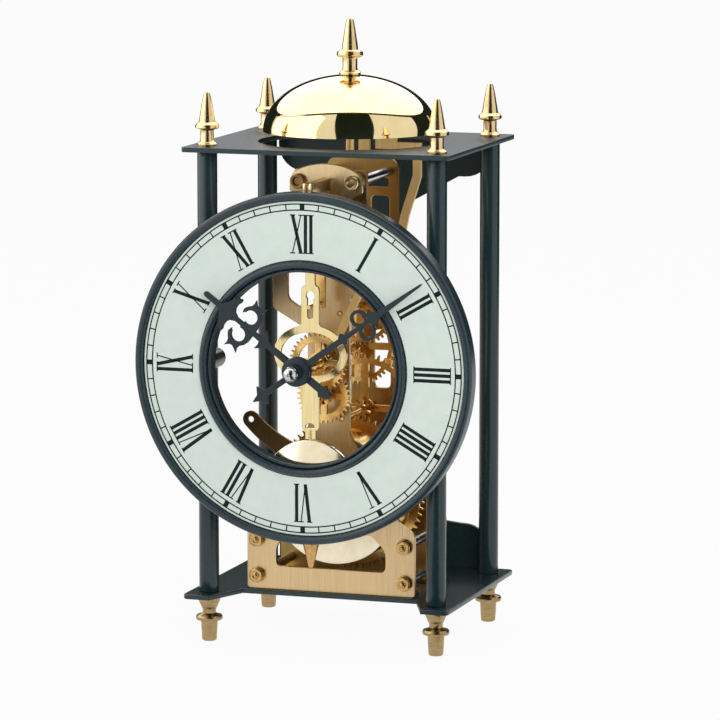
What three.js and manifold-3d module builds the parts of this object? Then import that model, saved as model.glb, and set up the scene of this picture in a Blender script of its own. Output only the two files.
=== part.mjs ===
// A skeleton table clock: four pillars between two black plates, a bell on top, an open ring dial and a
// brass movement whose pendulum swings in front of its plates. Millimetres, +Z up, the dial faces -Y.
// Front-view shapes are drawn with x to the right and z up; "y" values grow towards the back.
import * as THREE from 'three';
import { mergeVertices } from 'three/addons/utils/BufferGeometryUtils.js';
import Module from 'manifold-3d';

const wasm = await Module();
wasm.setup();

// Clearances
const SEAT = 0.05;             // between faces that rest on each other
const RUNNING = 0.2;           // between a shaft and its hole, on the radius
const LOOSE = 0.35;            // between a pin and the slot that it moves in
const END_SHAKE = 0.3;         // between an arbor's shoulder and its plate
const SWING_GAP = 0.5;         // between moving pieces that pass each other

// Frame
const FOOT_HEIGHT = 18.2;
const FOOT_TIP_RADIUS = 2.95;
const FOOT_LEG_RADIUS = 3.45;
const FOOT_LEG_HEIGHT = 8.6;
const FOOT_FLANGE_RADIUS = 5.45;
const FOOT_FLANGE_HEIGHT = 2.6;
const FOOT_NECK_RADIUS = 2.75;
const FOOT_NECK_HEIGHT = 2;
const FOOT_CUP_RADIUS = 4.6;
const SHEET = 2;
const PILLAR_LENGTH = 178.8;
const PILLAR_RADIUS = 4;
const PILLAR_SPREAD = 96;
const PILLAR_DEPTH = 72.5;
const STUD_RADIUS = 2;
const STUD_LENGTH = 9;
const OVERHANG_SIDE = 7.8;
const OVERHANG_FRONT = 10;
const OVERHANG_REAR = 10;
const PLATE_CORNER = 2;
const BASE_NOTCH_WIDTH = 73.4;
const BASE_NOTCH_MOUTH = 89;
const BASE_NOTCH_DEPTH = 19.2;
const FLANGE_WIDTH = 92;
const FLANGE_SHEET = 1.6;
const FLANGE_CORNER = 11;
const TOP_SHOULDER = 16;
const TOP_TONGUE = 40;
const TOP_TONGUE_WIDTH = 20;
const BASE_SHOULDER = 15.5;
const BASE_TONGUE = 26;
const BASE_TONGUE_WIDTH = 24;
const TONGUE_SWEEP = 22;
const TONGUE_ROUND = 0.7;
const FINIAL_BASE_RADIUS = 3.85;
const FINIAL_BASE_HEIGHT = 1.6;
const FINIAL_NECK_RADIUS = 2.95;
const FINIAL_NECK_HEIGHT = 5;
const FINIAL_COLLAR_RADIUS = 4.75;
const FINIAL_COLLAR_HEIGHT = 2.6;
const FINIAL_CONE_RADIUS = 3.1;
const FINIAL_TIP_RADIUS = 1.15;
const FINIAL_CONE_HEIGHT = 12.3;

// Bell
const BELL_RADIUS = 35.1;
const BELL_HEIGHT = 22.7;
const BELL_WALL = 1.6;
const BELL_LIFT = 4;
const BELL_CLEARANCE = 1.9;
const BELL_POST_RADIUS = 1.5;
const BELL_STAND_SHEET = 1.6;
const BELL_STAND_WIDTH = 4.8;
const BELL_STAND_FOOT = 16;
const BELL_ARM_WIDTH = 4;
const BELL_ARM_LIFT = 1;
const BELL_TAIL_RADIUS = 1.7;
const BELL_TAIL_LENGTH = 9;
const BELL_FINIAL_BASE_RADIUS = 4.3;
const BELL_FINIAL_BASE_HEIGHT = 1.7;
const BELL_FINIAL_NECK_RADIUS = 3;
const BELL_FINIAL_NECK_HEIGHT = 5.1;
const BELL_FINIAL_COLLAR_RADIUS = 5.3;
const BELL_FINIAL_COLLAR_HEIGHT = 2.7;
const BELL_FINIAL_CONE_RADIUS = 3.35;
const BELL_FINIAL_TIP_RADIUS = 1.4;
const BELL_FINIAL_CONE_HEIGHT = 13.3;

// Movement plates
const MOVEMENT_SHEET = 1.8;
const FRONT_PLATE_Y = -25;
const BACK_PLATE_Y = 18;
const LOWER_HALF_WIDTH = 35.6;
const LOWER_BLOCK_HEIGHT = 25.8;
const LOWER_CHAMFER = 6.3;
const WINDOW_HALF_WIDTH = 23.2;
const WINDOW_SILL = 9.6;
const WINDOW_SIDE = 8.6;
const WINDOW_HEIGHT = 15;
const WAIST_LEFT = 9.6;
const WAIST_RIGHT = 8;
const ARM_LEFT = 24.4;
const ARM_LENGTH = 44;
const ARM_STRIP = 6.4;
const ARM_SLOPE = 0.57;
const HEAD_HALF_WIDTH = 15.3;
const FRONT_HEAD = 10;
const BACK_HEAD = 10.6;
const FOOT_TAB_WIDTH = 12;
const FOOT_TAB_DEPTH = 10;
const EAR_HEIGHT = 9;
const PLATE_PILLAR_RADIUS = 2;
const PLATE_PILLAR_X = 31.2;
const PLATE_PILLAR_LOW = 5.7;
const PLATE_PILLAR_HIGH = 20.5;
const TENON_RADIUS = 1.25;
const NUT_RADIUS = 3.4;
const NUT_HEIGHT = 2.6;
const HEAD_PILLAR_X = 11.3;
const HEAD_PILLAR_RISE = 5.7;

// Wheels and pinions: modules, tooth counts and places
const ADDENDUM = 0.8;
const DEDENDUM = 1.25;
const WHEEL_SHEET = 1.3;
const PINION_LENGTH = 3.2;
const ARBOR_RADIUS = 1.2;
const PIVOT_RADIUS = 0.8;
const CENTRE_ARBOR_RADIUS = 1.5;
const BARREL_RISE = 37.3;
const GREAT_MODULE = 0.86;
const GREAT_TEETH = 72;
const SECOND_MODULE = 0.9;
const CENTRE_MODULE = 0.65;
const THIRD_MODULE = 0.65;
const TRAIN_TEETH = 48;
const FOURTH_MODULE = 0.7;
const FOURTH_TEETH = 36;
const LEAVES = 8;
const SECOND_X = 4.8;
const THIRD_X = 4;
const FOURTH_X = -2;
const ESCAPE_TEETH = 32;
const ESCAPE_RADIUS = 9;
const PALLET_RISE = 15.3;
const PALLET_REACH = 7.2;
const MOTION_DISTANCE = 14.4;
const HOUR_TEETH = 36;
const HOUR_PINION_LEAVES = 9;
const MINUTE_TEETH = 33;
const CANNON_LEAVES = 11;
const GREAT_WHEEL_Y = 0.2;
const SECOND_WHEEL_Y = 5.6;
const CENTRE_WHEEL_Y = 10.6;
const THIRD_WHEEL_Y = 1;
const FOURTH_WHEEL_Y = -5.2;
const ESCAPE_WHEEL_Y = -13.4;
const MINUTE_WHEEL_Y = -32.8;
const HOUR_WHEEL_Y = -40.2;

// Barrel and winding
const BARREL_RADIUS = 26.3;
const BARREL_WALL = 1.2;
const BARREL_DEPTH = 19;
const BARREL_ARBOR_RADIUS = 2.5;
const BARREL_HUB_RADIUS = 6;
const MAINSPRING_INNER = 13;
const WINDING_REACH = 21;
const WINDING_SQUARE = 3.6;
const RATCHET_RADIUS = 11;
const RATCHET_TEETH = 20;
const RATCHET_STEP = 1.3;
const CLICK_LENGTH = 15;
const CLICK_WIDTH = 2.4;

// Motion work, hands and dial
const SHAFT_RADIUS = 1.1;
const CANNON_RADIUS = 2;
const HOUR_PIPE_RADIUS = 2.7;
const CAM_RADIUS = 6.4;
const HAND_SHEET = 1.2;
const HAND_GAP = 1.4;
const HAND_LIFT = 4.2;
const HUB_RADIUS = 5.4;
const HOUR_LENGTH = 49;
const HOUR_TAIL = 16.6;
const HOUR_SCROLL_PLACE = 28;
const HOUR_SCROLL_RADIUS = 3.7;
const HOUR_SCROLL_BAND = 1.9;
const HOUR_ANGLE = -52.8;
const MINUTE_LENGTH = 63.4;
const MINUTE_TAIL = 21.8;
const MINUTE_SCROLL_PLACE = 34;
const MINUTE_SCROLL_RADIUS = 2.35;
const MINUTE_SCROLL_BAND = 1.2;
const MINUTE_ANGLE = 54.5;
const HAND_NUT_RADIUS = 3;
const HAND_NUT_LENGTH = 9.4;
const DIAL_RADIUS = 70;
const DIAL_FACE_OUTER = 66.4;
const DIAL_FACE_INNER = 43.3;
const DIAL_HOLE_RADIUS = 38.4;
const DIAL_FACE_Y = -59.7;
const DIAL_FACE_SHEET = 1;
const DIAL_BEAD = 2;
const DIAL_DEPTH = 5.5;
const DIAL_STUD_RADIUS = 4;
const DIAL_STUD_X = 43.5;
const DIAL_STUD_WRAP = 1.4;

// Pendulum, escapement and strike
const PENDULUM_Y = -49.5;
const ROD_SHEET = 1.2;
const ROD_WIDTH = 7.6;
const ROD_NECK_WIDTH = 4;
const ROD_NECK_LENGTH = 23;
const ROD_SHOULDER = 3.6;
const ROD_STEM_WIDTH = 4.4;
const SPRING_SHEET = 0.4;
const SPRING_LENGTH = 9;
const CRUTCH_LENGTH = 42;
const CRUTCH_PIN_RADIUS = 0.8;
const CRUTCH_Y = -36.6;
const SLOT_LENGTH = 10.6;
const LOOP_HALF_WIDTH = 15.2;
const LOOP_HALF_HEIGHT = 11.6;
const LOOP_BAND = 2.8;
const LOOP_DROP = 60.8;
const ROD_FLAT_LENGTH = 91.3;
const SCREW_RADIUS = 0.9;
const BOB_DROP = 115.2;
const BOB_RADIUS = 20;
const BOB_HALF_THICKNESS = 4;
const BOB_EDGE = 1.4;
const RATING_NUT_RADIUS = 3.6;
const RATING_NUT_LENGTH = 11.5;
const COCK_Y = -30.8;
const COCK_SHEET = 1.6;
const COCK_SCREW_RADIUS = 3;
const COCK_SCREW_HOLLOW = 1.7;
const COCK_SCREW_HEIGHT = 2.6;
const LUG_HALF_WIDTH = 2.3;
const LUG_FRONT = 3.5;
const LUG_HEIGHT = 5.2;
const SWING_DEGREES = 4;
const HAMMER_X = 16.5;
const HAMMER_RISE = 33.7;
const HAMMER_Y = 5.8;
const HAMMER_SHEET = 1.6;
const HAMMER_WIDTH = 3.5;
const HAMMER_ARM_X = 26.4;
const HAMMER_KNEE_X = 4.7;
const HAMMER_KNEE_RISE = 20.5;
const HAMMER_ARM_RISE = 37;
const HAMMER_BAR_DROP = 4.7;
const HAMMER_BAR_HEIGHT = 2.8;
const HAMMER_RISER_X = 8.8;
const HAMMER_RISER_WIDTH = 9.1;
const HAMMER_HEAD_X = 27.2;
const HAMMER_HEAD_RADIUS = 3;
const HAMMER_HEAD_LENGTH = 14;
const TAIL_REACH = 10.2;
const LEVER_X = -9;
const LEVER_RISE = 17;
const LEVER_LENGTH = 28.75;
const LEVER_ANGLE = 148.1;
const LEVER_BOW = 1.9;
const LEVER_HALF_WIDTH = 3.6;
const LEVER_SHEET = 1.2;
const LEVER_HOLE_RADIUS = 1.2;

// Levels and places that follow from the sizes
const BASE_TOP = FOOT_HEIGHT + SHEET;
const TOP_UNDER = BASE_TOP + PILLAR_LENGTH;
const TOP_UPPER = TOP_UNDER + SHEET;
const PLATE_HALF_X = PILLAR_SPREAD / 2 + OVERHANG_SIDE;
const PLATE_FRONT = -PILLAR_DEPTH / 2 - OVERHANG_FRONT;
const PLATE_REAR = PILLAR_DEPTH / 2 + OVERHANG_REAR;
const RIM_Z = TOP_UPPER + BELL_LIFT;
const BELL_TOP = RIM_Z + BELL_HEIGHT;
const FRONT_BACK = FRONT_PLATE_Y + MOVEMENT_SHEET;
const BACK_FRONT = BACK_PLATE_Y - MOVEMENT_SHEET;
const FOOT_Z = BASE_TOP + SEAT;
const stage = (module, teeth, leaves) => (module * (teeth + leaves)) / 2;
const above = (from, x, distance) => ({
  x,
  z: from.z + Math.sqrt(distance ** 2 - (x - from.x) ** 2),
});
const barrelAt = { x: 0, z: BASE_TOP + BARREL_RISE };
const secondAt = above(barrelAt, SECOND_X, stage(GREAT_MODULE, GREAT_TEETH, LEAVES));
const centreAt = above(secondAt, 0, stage(SECOND_MODULE, TRAIN_TEETH, LEAVES));
const thirdAt = above(centreAt, THIRD_X, stage(CENTRE_MODULE, TRAIN_TEETH, LEAVES));
const fourthAt = above(thirdAt, FOURTH_X, stage(THIRD_MODULE, TRAIN_TEETH, LEAVES));
const escapeAt = above(fourthAt, 0, stage(FOURTH_MODULE, FOURTH_TEETH, LEAVES));
const palletAt = { x: 0, z: escapeAt.z + PALLET_RISE };
const motionAt = { x: 0, z: centreAt.z - MOTION_DISTANCE };
const hammerAt = { x: HAMMER_X, z: centreAt.z + HAMMER_RISE };
const leverAt = { x: LEVER_X, z: barrelAt.z + LEVER_RISE };
const HOUR_MODULE = (2 * MOTION_DISTANCE) / (HOUR_TEETH + HOUR_PINION_LEAVES);
const MINUTE_MODULE = (2 * MOTION_DISTANCE) / (MINUTE_TEETH + CANNON_LEAVES);
const HOUR_HAND_Y = DIAL_FACE_Y - HAND_LIFT;
const MINUTE_HAND_Y = HOUR_HAND_Y - HAND_SHEET - HAND_GAP;
const NUT_Y = MINUTE_HAND_Y - HAND_SHEET - SEAT;
const DIAL_BACK = DIAL_FACE_Y + DIAL_DEPTH;
const DIAL_FRONT = DIAL_FACE_Y - DIAL_BEAD;
const HEAD_PILLAR_Z = palletAt.z + HEAD_PILLAR_RISE;
const CLOCK_FRONT = NUT_Y - HAND_NUT_LENGTH;
const DEPTH_SHIFT = -(CLOCK_FRONT + PLATE_REAR) / 2;

const FINISHES = {
  lacquer: { color: 0x24292c, roughness: 0.42, metalness: 0.3 },
  polished: { color: 0xd9a441, roughness: 0.14, metalness: 1 },
  brushed: { color: 0xc79a52, roughness: 0.36, metalness: 1 },
  steel: { color: 0xb9bcc0, roughness: 0.28, metalness: 1 },
  silvered: { color: 0xcfd9d0, roughness: 0.5, metalness: 0.1 },
  japanned: { color: 0x1c2226, roughness: 0.35, metalness: 0.4 },
};

const clock = new THREE.Group();
const body = new THREE.Group();
body.position.y = DEPTH_SHIFT;
clock.add(body);

function addNode(name, geometry, finish) {
  const mesh = new THREE.Mesh(geometry, new THREE.MeshStandardMaterial(FINISHES[finish]));
  mesh.name = name;
  body.add(mesh);
}

// Welds a geometry's corners, drops collapsed triangles and turns its faces outwards.
function welded(geometry) {
  const bare = geometry.clone();
  bare.deleteAttribute('normal');
  bare.deleteAttribute('uv');
  const merged = mergeVertices(bare, 1e-4);
  const at = merged.attributes.position;
  const corner = (i) => new THREE.Vector3().fromBufferAttribute(at, i);
  const kept = [];
  let volume = 0;
  for (let i = 0; i < merged.index.count; i += 3) {
    const [a, b, c] = [0, 1, 2].map((k) => merged.index.getX(i + k));
    if (a === b || b === c || c === a) continue;
    kept.push([a, b, c]);
    volume += corner(a).dot(corner(b).cross(corner(c)));
  }
  merged.setIndex(kept.flatMap(([a, b, c]) => (volume < 0 ? [a, c, b] : [a, b, c])));
  return merged;
}

function toSolid(geometry) {
  const closed = welded(geometry);
  const vertProperties = new Float32Array(closed.attributes.position.array);
  const triVerts = new Uint32Array(closed.index.array);
  return new wasm.Manifold(new wasm.Mesh({ numProp: 3, vertProperties, triVerts }));
}

function toGeometry(solid) {
  const mesh = solid.getMesh();
  const geometry = new THREE.BufferGeometry();
  geometry.setAttribute('position', new THREE.BufferAttribute(mesh.vertProperties, 3));
  geometry.setIndex(new THREE.BufferAttribute(mesh.triVerts, 1));
  return geometry;
}

const joined = (pieces) => toGeometry(pieces.map(toSolid).reduce((sum, piece) => sum.add(piece)));
const cut = (piece, tools) => toGeometry(tools.map(toSolid).reduce((rest, t) => rest.subtract(t),
  toSolid(piece)));

// Basic forms
const outline = (points) => new THREE.Shape(points.map(([x, z]) => new THREE.Vector2(x, z)));
const mirrored = (points) => [...points, ...points.map(([x, z]) => [-x, z]).reverse()];

function ringPoints(x, z, radius, count, turn = 0) {
  return Array.from({ length: count }, (_, i) => {
    const angle = turn + (2 * Math.PI * i) / count;
    return [x + radius * Math.cos(angle), z + radius * Math.sin(angle)];
  });
}

// A hole whose flats, not its corners, lie on the radius.
function hole(at, radius, count = 12) {
  return outline(ringPoints(at.x, at.z, radius / Math.cos(Math.PI / count), count));
}

function arcPoints(x, z, radiusX, radiusZ, from, to, steps) {
  return Array.from({ length: steps + 1 }, (_, i) => {
    const angle = THREE.MathUtils.degToRad(from + ((to - from) * i) / steps);
    return [x + radiusX * Math.cos(angle), z + radiusZ * Math.sin(angle)];
  });
}

function frontSlab(shape, yNear, yFar) {
  const slab = new THREE.ExtrudeGeometry(shape, { depth: yFar - yNear, bevelEnabled: false });
  return slab.rotateX(Math.PI / 2).translate(0, yFar, 0);
}

function planSlab(shape, zLow, zHigh) {
  return new THREE.ExtrudeGeometry(shape, { depth: zHigh - zLow, bevelEnabled: false }).translate(0, 0,
    zLow);
}

const lathe = (profile, count) => new THREE.LatheGeometry(profile.map(([r, h]) => new THREE.Vector2(r,
  h)), count);
const turnedZ = (profile, count, x, y) => lathe(profile, count).rotateX(Math.PI / 2).translate(x, y, 0);
const turnedY = (profile, count, at) => lathe(profile, count).translate(at.x, 0, at.z);

function rodY(radius, yNear, yFar, at, count = 12) {
  return turnedY([[0, yNear], [radius, yNear], [radius, yFar], [0, yFar]], count, at);
}

function tubeY(inner, outer, yNear, yFar, at, count = 12) {
  const bore = inner / Math.cos(Math.PI / count);
  return turnedY([[bore, yNear], [outer, yNear], [outer, yFar], [bore, yFar], [bore, yNear]], count, at);
}

// A drill whose flats, not its corners, lie on the radius.
const drillY = (radius, yNear, yFar, at) => rodY(radius / Math.cos(Math.PI / 12), yNear, yFar, at);

function box(x0, x1, y0, y1, z0, z1) {
  return new THREE.BoxGeometry(x1 - x0, y1 - y0, z1 - z0).translate((x0 + x1) / 2, (y0 + y1) / 2,
    (z0 + z1) / 2);
}

// A strip of even width along a path, with square ends.
function strip(path, width) {
  const half = width / 2;
  const sides = path.map((point, i) => {
    const [ax, az] = path[Math.max(i - 1, 0)];
    const [bx, bz] = path[Math.min(i + 1, path.length - 1)];
    const length = Math.hypot(bx - ax, bz - az);
    const across = [(-(bz - az) / length) * half, ((bx - ax) / length) * half];
    return [[point[0] + across[0], point[1] + across[1]], [point[0] - across[0], point[1] - across[1]]];
  });
  return outline([...sides.map(([left]) => left), ...sides.map(([, right]) => right).reverse()]);
}

// Toothed wheels
const TOOTH_ROOT = 0.25;
const TOOTH_TIP = 0.1;

function gearPoints(at, teeth, module, phase) {
  const pitch = (2 * Math.PI) / teeth;
  const radius = (teeth * module) / 2;
  const steps = [[-DEDENDUM, -TOOTH_ROOT], [ADDENDUM, -TOOTH_TIP], [ADDENDUM, TOOTH_TIP],
    [-DEDENDUM, TOOTH_ROOT]];
  return Array.from({ length: teeth }, (_, i) => steps.map(([rise, turn]) => {
    const angle = phase + (i + turn) * pitch;
    const reach = radius + rise * module;
    return [at.x + reach * Math.cos(angle), at.z + reach * Math.sin(angle)];
  })).flat();
}

// The windows between a wheel's spokes.
function crossings(at, inner, outer, spokes, spokeWidth) {
  return Array.from({ length: spokes }, (_, i) => {
    const middle = (360 * (i + 0.5)) / spokes;
    const half = (radius) => 180 / spokes - THREE.MathUtils.radToDeg(spokeWidth / 2 / radius);
    const far = arcPoints(at.x, at.z, outer, outer, middle - half(outer), middle + half(outer), 5);
    const near = arcPoints(at.x, at.z, inner, inner, middle + half(inner), middle - half(inner), 2);
    return outline([...far, ...near]);
  });
}

function wheelSlab(at, teeth, module, phase, y, windows, bore = 0) {
  const shape = outline(gearPoints(at, teeth, module, phase));
  shape.holes.push(...windows);
  if (bore) shape.holes.push(hole(at, bore));
  return frontSlab(shape, y - WHEEL_SHEET / 2, y + WHEEL_SHEET / 2);
}

const pinionSlab = (at, leaves, module, phase, y) => frontSlab(
  outline(gearPoints(at, leaves, module, phase)), y - PINION_LENGTH / 2, y + PINION_LENGTH / 2);

// The angle at which a driven gear's tooth stands when it meshes with its driver.
function meshPhase(driver, driverTeeth, driverPhase, driven, drivenTeeth) {
  const towards = Math.atan2(driven.z - driver.z, driven.x - driver.x);
  return towards + Math.PI + Math.PI / drivenTeeth - ((driverPhase - towards) * driverTeeth) / drivenTeeth;
}

// An arbor that runs in both movement plates, with a pivot at each end.
function arborBetweenPlates(at) {
  const front = FRONT_BACK + END_SHAKE;
  const back = BACK_FRONT - END_SHAKE;
  const profile = [
    [0, FRONT_PLATE_Y], [PIVOT_RADIUS, FRONT_PLATE_Y], [PIVOT_RADIUS, front], [ARBOR_RADIUS, front],
    [ARBOR_RADIUS, back], [PIVOT_RADIUS, back], [PIVOT_RADIUS, BACK_PLATE_Y], [0, BACK_PLATE_Y],
  ];
  return turnedY(profile, 10, at);
}

// Base plate and top plate
function plateCorners(frontEdge) {
  const side = PLATE_HALF_X - PLATE_CORNER;
  const rear = arcPoints(side, PLATE_REAR - PLATE_CORNER, PLATE_CORNER, PLATE_CORNER, 0, 90, 3);
  const front = arcPoints(side, PLATE_FRONT + PLATE_CORNER, PLATE_CORNER, PLATE_CORNER, -90, 0, 3);
  return outline(mirrored([...frontEdge, ...front, ...rear]));
}

// A rear flange: a half outline from its outer corner to the tip of its tongue, mirrored.
function flange(edgeZ, direction, shoulder, tongue, tongueWidth) {
  const half = FLANGE_WIDTH / 2;
  const z = (drop) => edgeZ + direction * drop;
  const corner = arcPoints(half - FLANGE_CORNER, shoulder - FLANGE_CORNER, FLANGE_CORNER,
    FLANGE_CORNER, 0, 90, 4);
  const round = Math.min(tongueWidth / 2, (tongue - shoulder) * TONGUE_ROUND);
  const tip = arcPoints(0, tongue - round, tongueWidth / 2, round, 0, 90, 4);
  const points = [[half, 0], ...corner, [tongueWidth / 2 + TONGUE_SWEEP, shoulder], ...tip];
  const shape = outline(mirrored(points.map(([x, drop]) => [x, z(drop)])));
  return frontSlab(shape, PLATE_REAR - FLANGE_SHEET, PLATE_REAR);
}

const corners = [
  { name: 'front_left', x: -PILLAR_SPREAD / 2, y: -PILLAR_DEPTH / 2 },
  { name: 'front_right', x: PILLAR_SPREAD / 2, y: -PILLAR_DEPTH / 2 },
  { name: 'rear_left', x: -PILLAR_SPREAD / 2, y: PILLAR_DEPTH / 2 },
  { name: 'rear_right', x: PILLAR_SPREAD / 2, y: PILLAR_DEPTH / 2 },
];
const studHoles = () => corners.map(({ x, y }) => hole({ x, z: y }, STUD_RADIUS + RUNNING, 10));

function basePlate() {
  const recess = PLATE_FRONT + BASE_NOTCH_DEPTH;
  const shape = plateCorners([[BASE_NOTCH_WIDTH / 2, recess], [BASE_NOTCH_MOUTH / 2, PLATE_FRONT]]);
  shape.holes.push(...studHoles());
  const sheet = planSlab(shape, FOOT_HEIGHT, BASE_TOP);
  return joined([sheet, flange(FOOT_HEIGHT, 1, BASE_SHOULDER + SHEET, BASE_TONGUE + SHEET,
    BASE_TONGUE_WIDTH)]);
}

function topPlate() {
  const shape = plateCorners([]);
  shape.holes.push(...studHoles(), hole({ x: 0, z: 0 }, BELL_RADIUS + BELL_CLEARANCE, 40));
  const sheet = planSlab(shape, TOP_UNDER, TOP_UPPER);
  return joined([sheet, flange(TOP_UPPER, -1, TOP_SHOULDER + SHEET, TOP_TONGUE, TOP_TONGUE_WIDTH)]);
}

addNode('base_plate', basePlate(), 'lacquer');
addNode('top_plate', topPlate(), 'lacquer');

// Pillars with the feet and finials that screw into their ends
function pillar({ x, y }) {
  const bore = (STUD_RADIUS + RUNNING) / Math.cos(Math.PI / 16);
  const low = BASE_TOP + SEAT;
  const high = TOP_UNDER - SEAT;
  const profile = [[bore, low], [PILLAR_RADIUS, low], [PILLAR_RADIUS, high], [bore, high], [bore, low]];
  return turnedZ(profile, 16, x, y);
}

function foot({ x, y }) {
  const flangeTop = FOOT_LEG_HEIGHT + FOOT_FLANGE_HEIGHT;
  const cup = flangeTop + FOOT_NECK_HEIGHT;
  const seat = FOOT_HEIGHT - SEAT;
  const profile = [
    [0, 0], [FOOT_TIP_RADIUS, 0], [FOOT_LEG_RADIUS, FOOT_LEG_HEIGHT],
    [FOOT_FLANGE_RADIUS, FOOT_LEG_HEIGHT],
    [FOOT_FLANGE_RADIUS, FOOT_LEG_HEIGHT + FOOT_FLANGE_HEIGHT / 2], [FOOT_NECK_RADIUS, flangeTop],
    [FOOT_NECK_RADIUS, cup], [FOOT_CUP_RADIUS, seat], [STUD_RADIUS, seat],
    [STUD_RADIUS, seat + STUD_LENGTH],
    [0, seat + STUD_LENGTH],
  ];
  return turnedZ(profile, 12, x, y);
}

function finial({ x, y }) {
  const seat = TOP_UPPER + SEAT;
  const neck = seat + FINIAL_BASE_HEIGHT;
  const collar = neck + FINIAL_NECK_HEIGHT;
  const cone = collar + FINIAL_COLLAR_HEIGHT;
  const profile = [
    [0, seat - STUD_LENGTH], [STUD_RADIUS, seat - STUD_LENGTH], [STUD_RADIUS, seat],
    [FINIAL_BASE_RADIUS, seat],
    [FINIAL_NECK_RADIUS, neck], [FINIAL_NECK_RADIUS, collar],
    [FINIAL_COLLAR_RADIUS, collar + FINIAL_COLLAR_HEIGHT / 3],
    [FINIAL_COLLAR_RADIUS, cone - FINIAL_COLLAR_HEIGHT / 3], [FINIAL_CONE_RADIUS, cone],
    [FINIAL_TIP_RADIUS, cone + FINIAL_CONE_HEIGHT - FINIAL_TIP_RADIUS / 2],
    [0, cone + FINIAL_CONE_HEIGHT],
  ];
  return turnedZ(profile, 12, x, y);
}

for (const corner of corners) {
  addNode(`pillar_${corner.name}`, pillar(corner), 'lacquer');
  addNode(`foot_${corner.name}`, foot(corner), 'polished');
  addNode(`finial_${corner.name}`, finial(corner), 'polished');
}

// Bell, its stand and the finial that holds it down
function bell() {
  const postHole = BELL_POST_RADIUS + RUNNING;
  const dome = (radius, height) => (share) => [
    radius * Math.cos((share * Math.PI) / 2), RIM_Z + height * Math.sin((share * Math.PI) / 2)];
  const shares = [0, 0.1, 0.2, 0.31, 0.43, 0.55, 0.68, 0.8, 0.92];
  const outer = shares.map(dome(BELL_RADIUS, BELL_HEIGHT));
  const inner = shares.map(dome(BELL_RADIUS - BELL_WALL, BELL_HEIGHT - BELL_WALL));
  const top = [[postHole, BELL_TOP], [postHole, BELL_TOP - BELL_WALL]];
  return turnedZ([...outer, ...top, ...inner.reverse(), outer[0]], 36, 0, 0);
}

// Foot strip on the back plate, up into the bell, an arm forward to the bell's axis, and the post.
const STAND_ARM = RIM_Z + BELL_ARM_LIFT;
const POST_TOP = BELL_TOP + BELL_FINIAL_BASE_HEIGHT + BELL_FINIAL_NECK_HEIGHT;

function bellStand() {
  const half = BELL_STAND_WIDTH / 2;
  const near = BACK_PLATE_Y + SEAT;
  const far = near + BELL_STAND_SHEET;
  const low = palletAt.z + BACK_HEAD - BELL_STAND_FOOT;
  const armTop = STAND_ARM + BELL_STAND_SHEET;
  const upright = box(-half, half, near, far, low, armTop);
  const arm = box(-BELL_ARM_WIDTH / 2, BELL_ARM_WIDTH / 2, -half, far, STAND_ARM, armTop);
  const shoulder = BELL_POST_RADIUS * 1.8;
  const tail = STAND_ARM - BELL_TAIL_LENGTH;
  const seat = BELL_TOP - BELL_WALL - RUNNING;
  const profile = [
    [0, tail], [BELL_TAIL_RADIUS, tail], [BELL_TAIL_RADIUS, armTop], [shoulder, armTop],
    [shoulder, seat],
    [BELL_POST_RADIUS, seat], [BELL_POST_RADIUS, POST_TOP], [0, POST_TOP],
  ];
  return joined([upright, arm, turnedZ(profile, 12, 0, 0)]);
}

function bellFinial() {
  const bore = (BELL_POST_RADIUS + RUNNING) / Math.cos(Math.PI / 14);
  const seat = BELL_TOP + SEAT;
  const neck = seat + BELL_FINIAL_BASE_HEIGHT;
  const collar = neck + BELL_FINIAL_NECK_HEIGHT;
  const cone = collar + BELL_FINIAL_COLLAR_HEIGHT;
  const tip = cone + BELL_FINIAL_CONE_HEIGHT;
  const profile = [
    [bore, seat], [BELL_FINIAL_BASE_RADIUS, seat], [BELL_FINIAL_BASE_RADIUS,
    seat + BELL_FINIAL_BASE_HEIGHT / 2],
    [BELL_FINIAL_NECK_RADIUS, neck], [BELL_FINIAL_NECK_RADIUS, collar],
    [BELL_FINIAL_COLLAR_RADIUS, collar + BELL_FINIAL_COLLAR_HEIGHT / 3],
    [BELL_FINIAL_COLLAR_RADIUS, cone - BELL_FINIAL_COLLAR_HEIGHT / 3], [BELL_FINIAL_CONE_RADIUS, cone],
    [BELL_FINIAL_TIP_RADIUS, tip - BELL_FINIAL_TIP_RADIUS / 2], [0, tip], [0, POST_TOP + END_SHAKE],
    [bore, POST_TOP + END_SHAKE], [bore, seat],
  ];
  return turnedZ(profile, 14, 0, 0);
}

addNode('bell_stand', bellStand(), 'brushed');
addNode('bell', bell(), 'polished');
addNode('bell_finial', bellFinial(), 'polished');

// Dial: a black ring body with a bead along both edges, and the pale chapter ring between them
function dialBody() {
  const web = DIAL_FACE_Y + DIAL_FACE_SHEET + SEAT;
  const faceOuter = DIAL_FACE_OUTER + SEAT;
  const faceInner = DIAL_FACE_INNER - SEAT;
  const outerCrown = (faceOuter + DIAL_RADIUS) / 2;
  const innerCrown = (faceInner + DIAL_HOLE_RADIUS) / 2;
  const profile = [
    [DIAL_HOLE_RADIUS, DIAL_BACK], [DIAL_HOLE_RADIUS, DIAL_FRONT + DIAL_BEAD / 2],
    [innerCrown - DIAL_BEAD / 3, DIAL_FRONT],
    [innerCrown + DIAL_BEAD / 3, DIAL_FRONT], [faceInner, DIAL_FACE_Y], [faceInner, web],
    [faceOuter, web],
    [faceOuter, DIAL_FACE_Y], [outerCrown - DIAL_BEAD / 3, DIAL_FRONT],
    [outerCrown + DIAL_BEAD / 3, DIAL_FRONT],
    [DIAL_RADIUS, DIAL_FACE_Y], [DIAL_RADIUS, DIAL_BACK - DIAL_BEAD / 2],
    [DIAL_RADIUS - DIAL_BEAD / 2, DIAL_BACK],
    [DIAL_HOLE_RADIUS, DIAL_BACK],
  ];
  return turnedY(profile, 48, centreAt);
}

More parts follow.
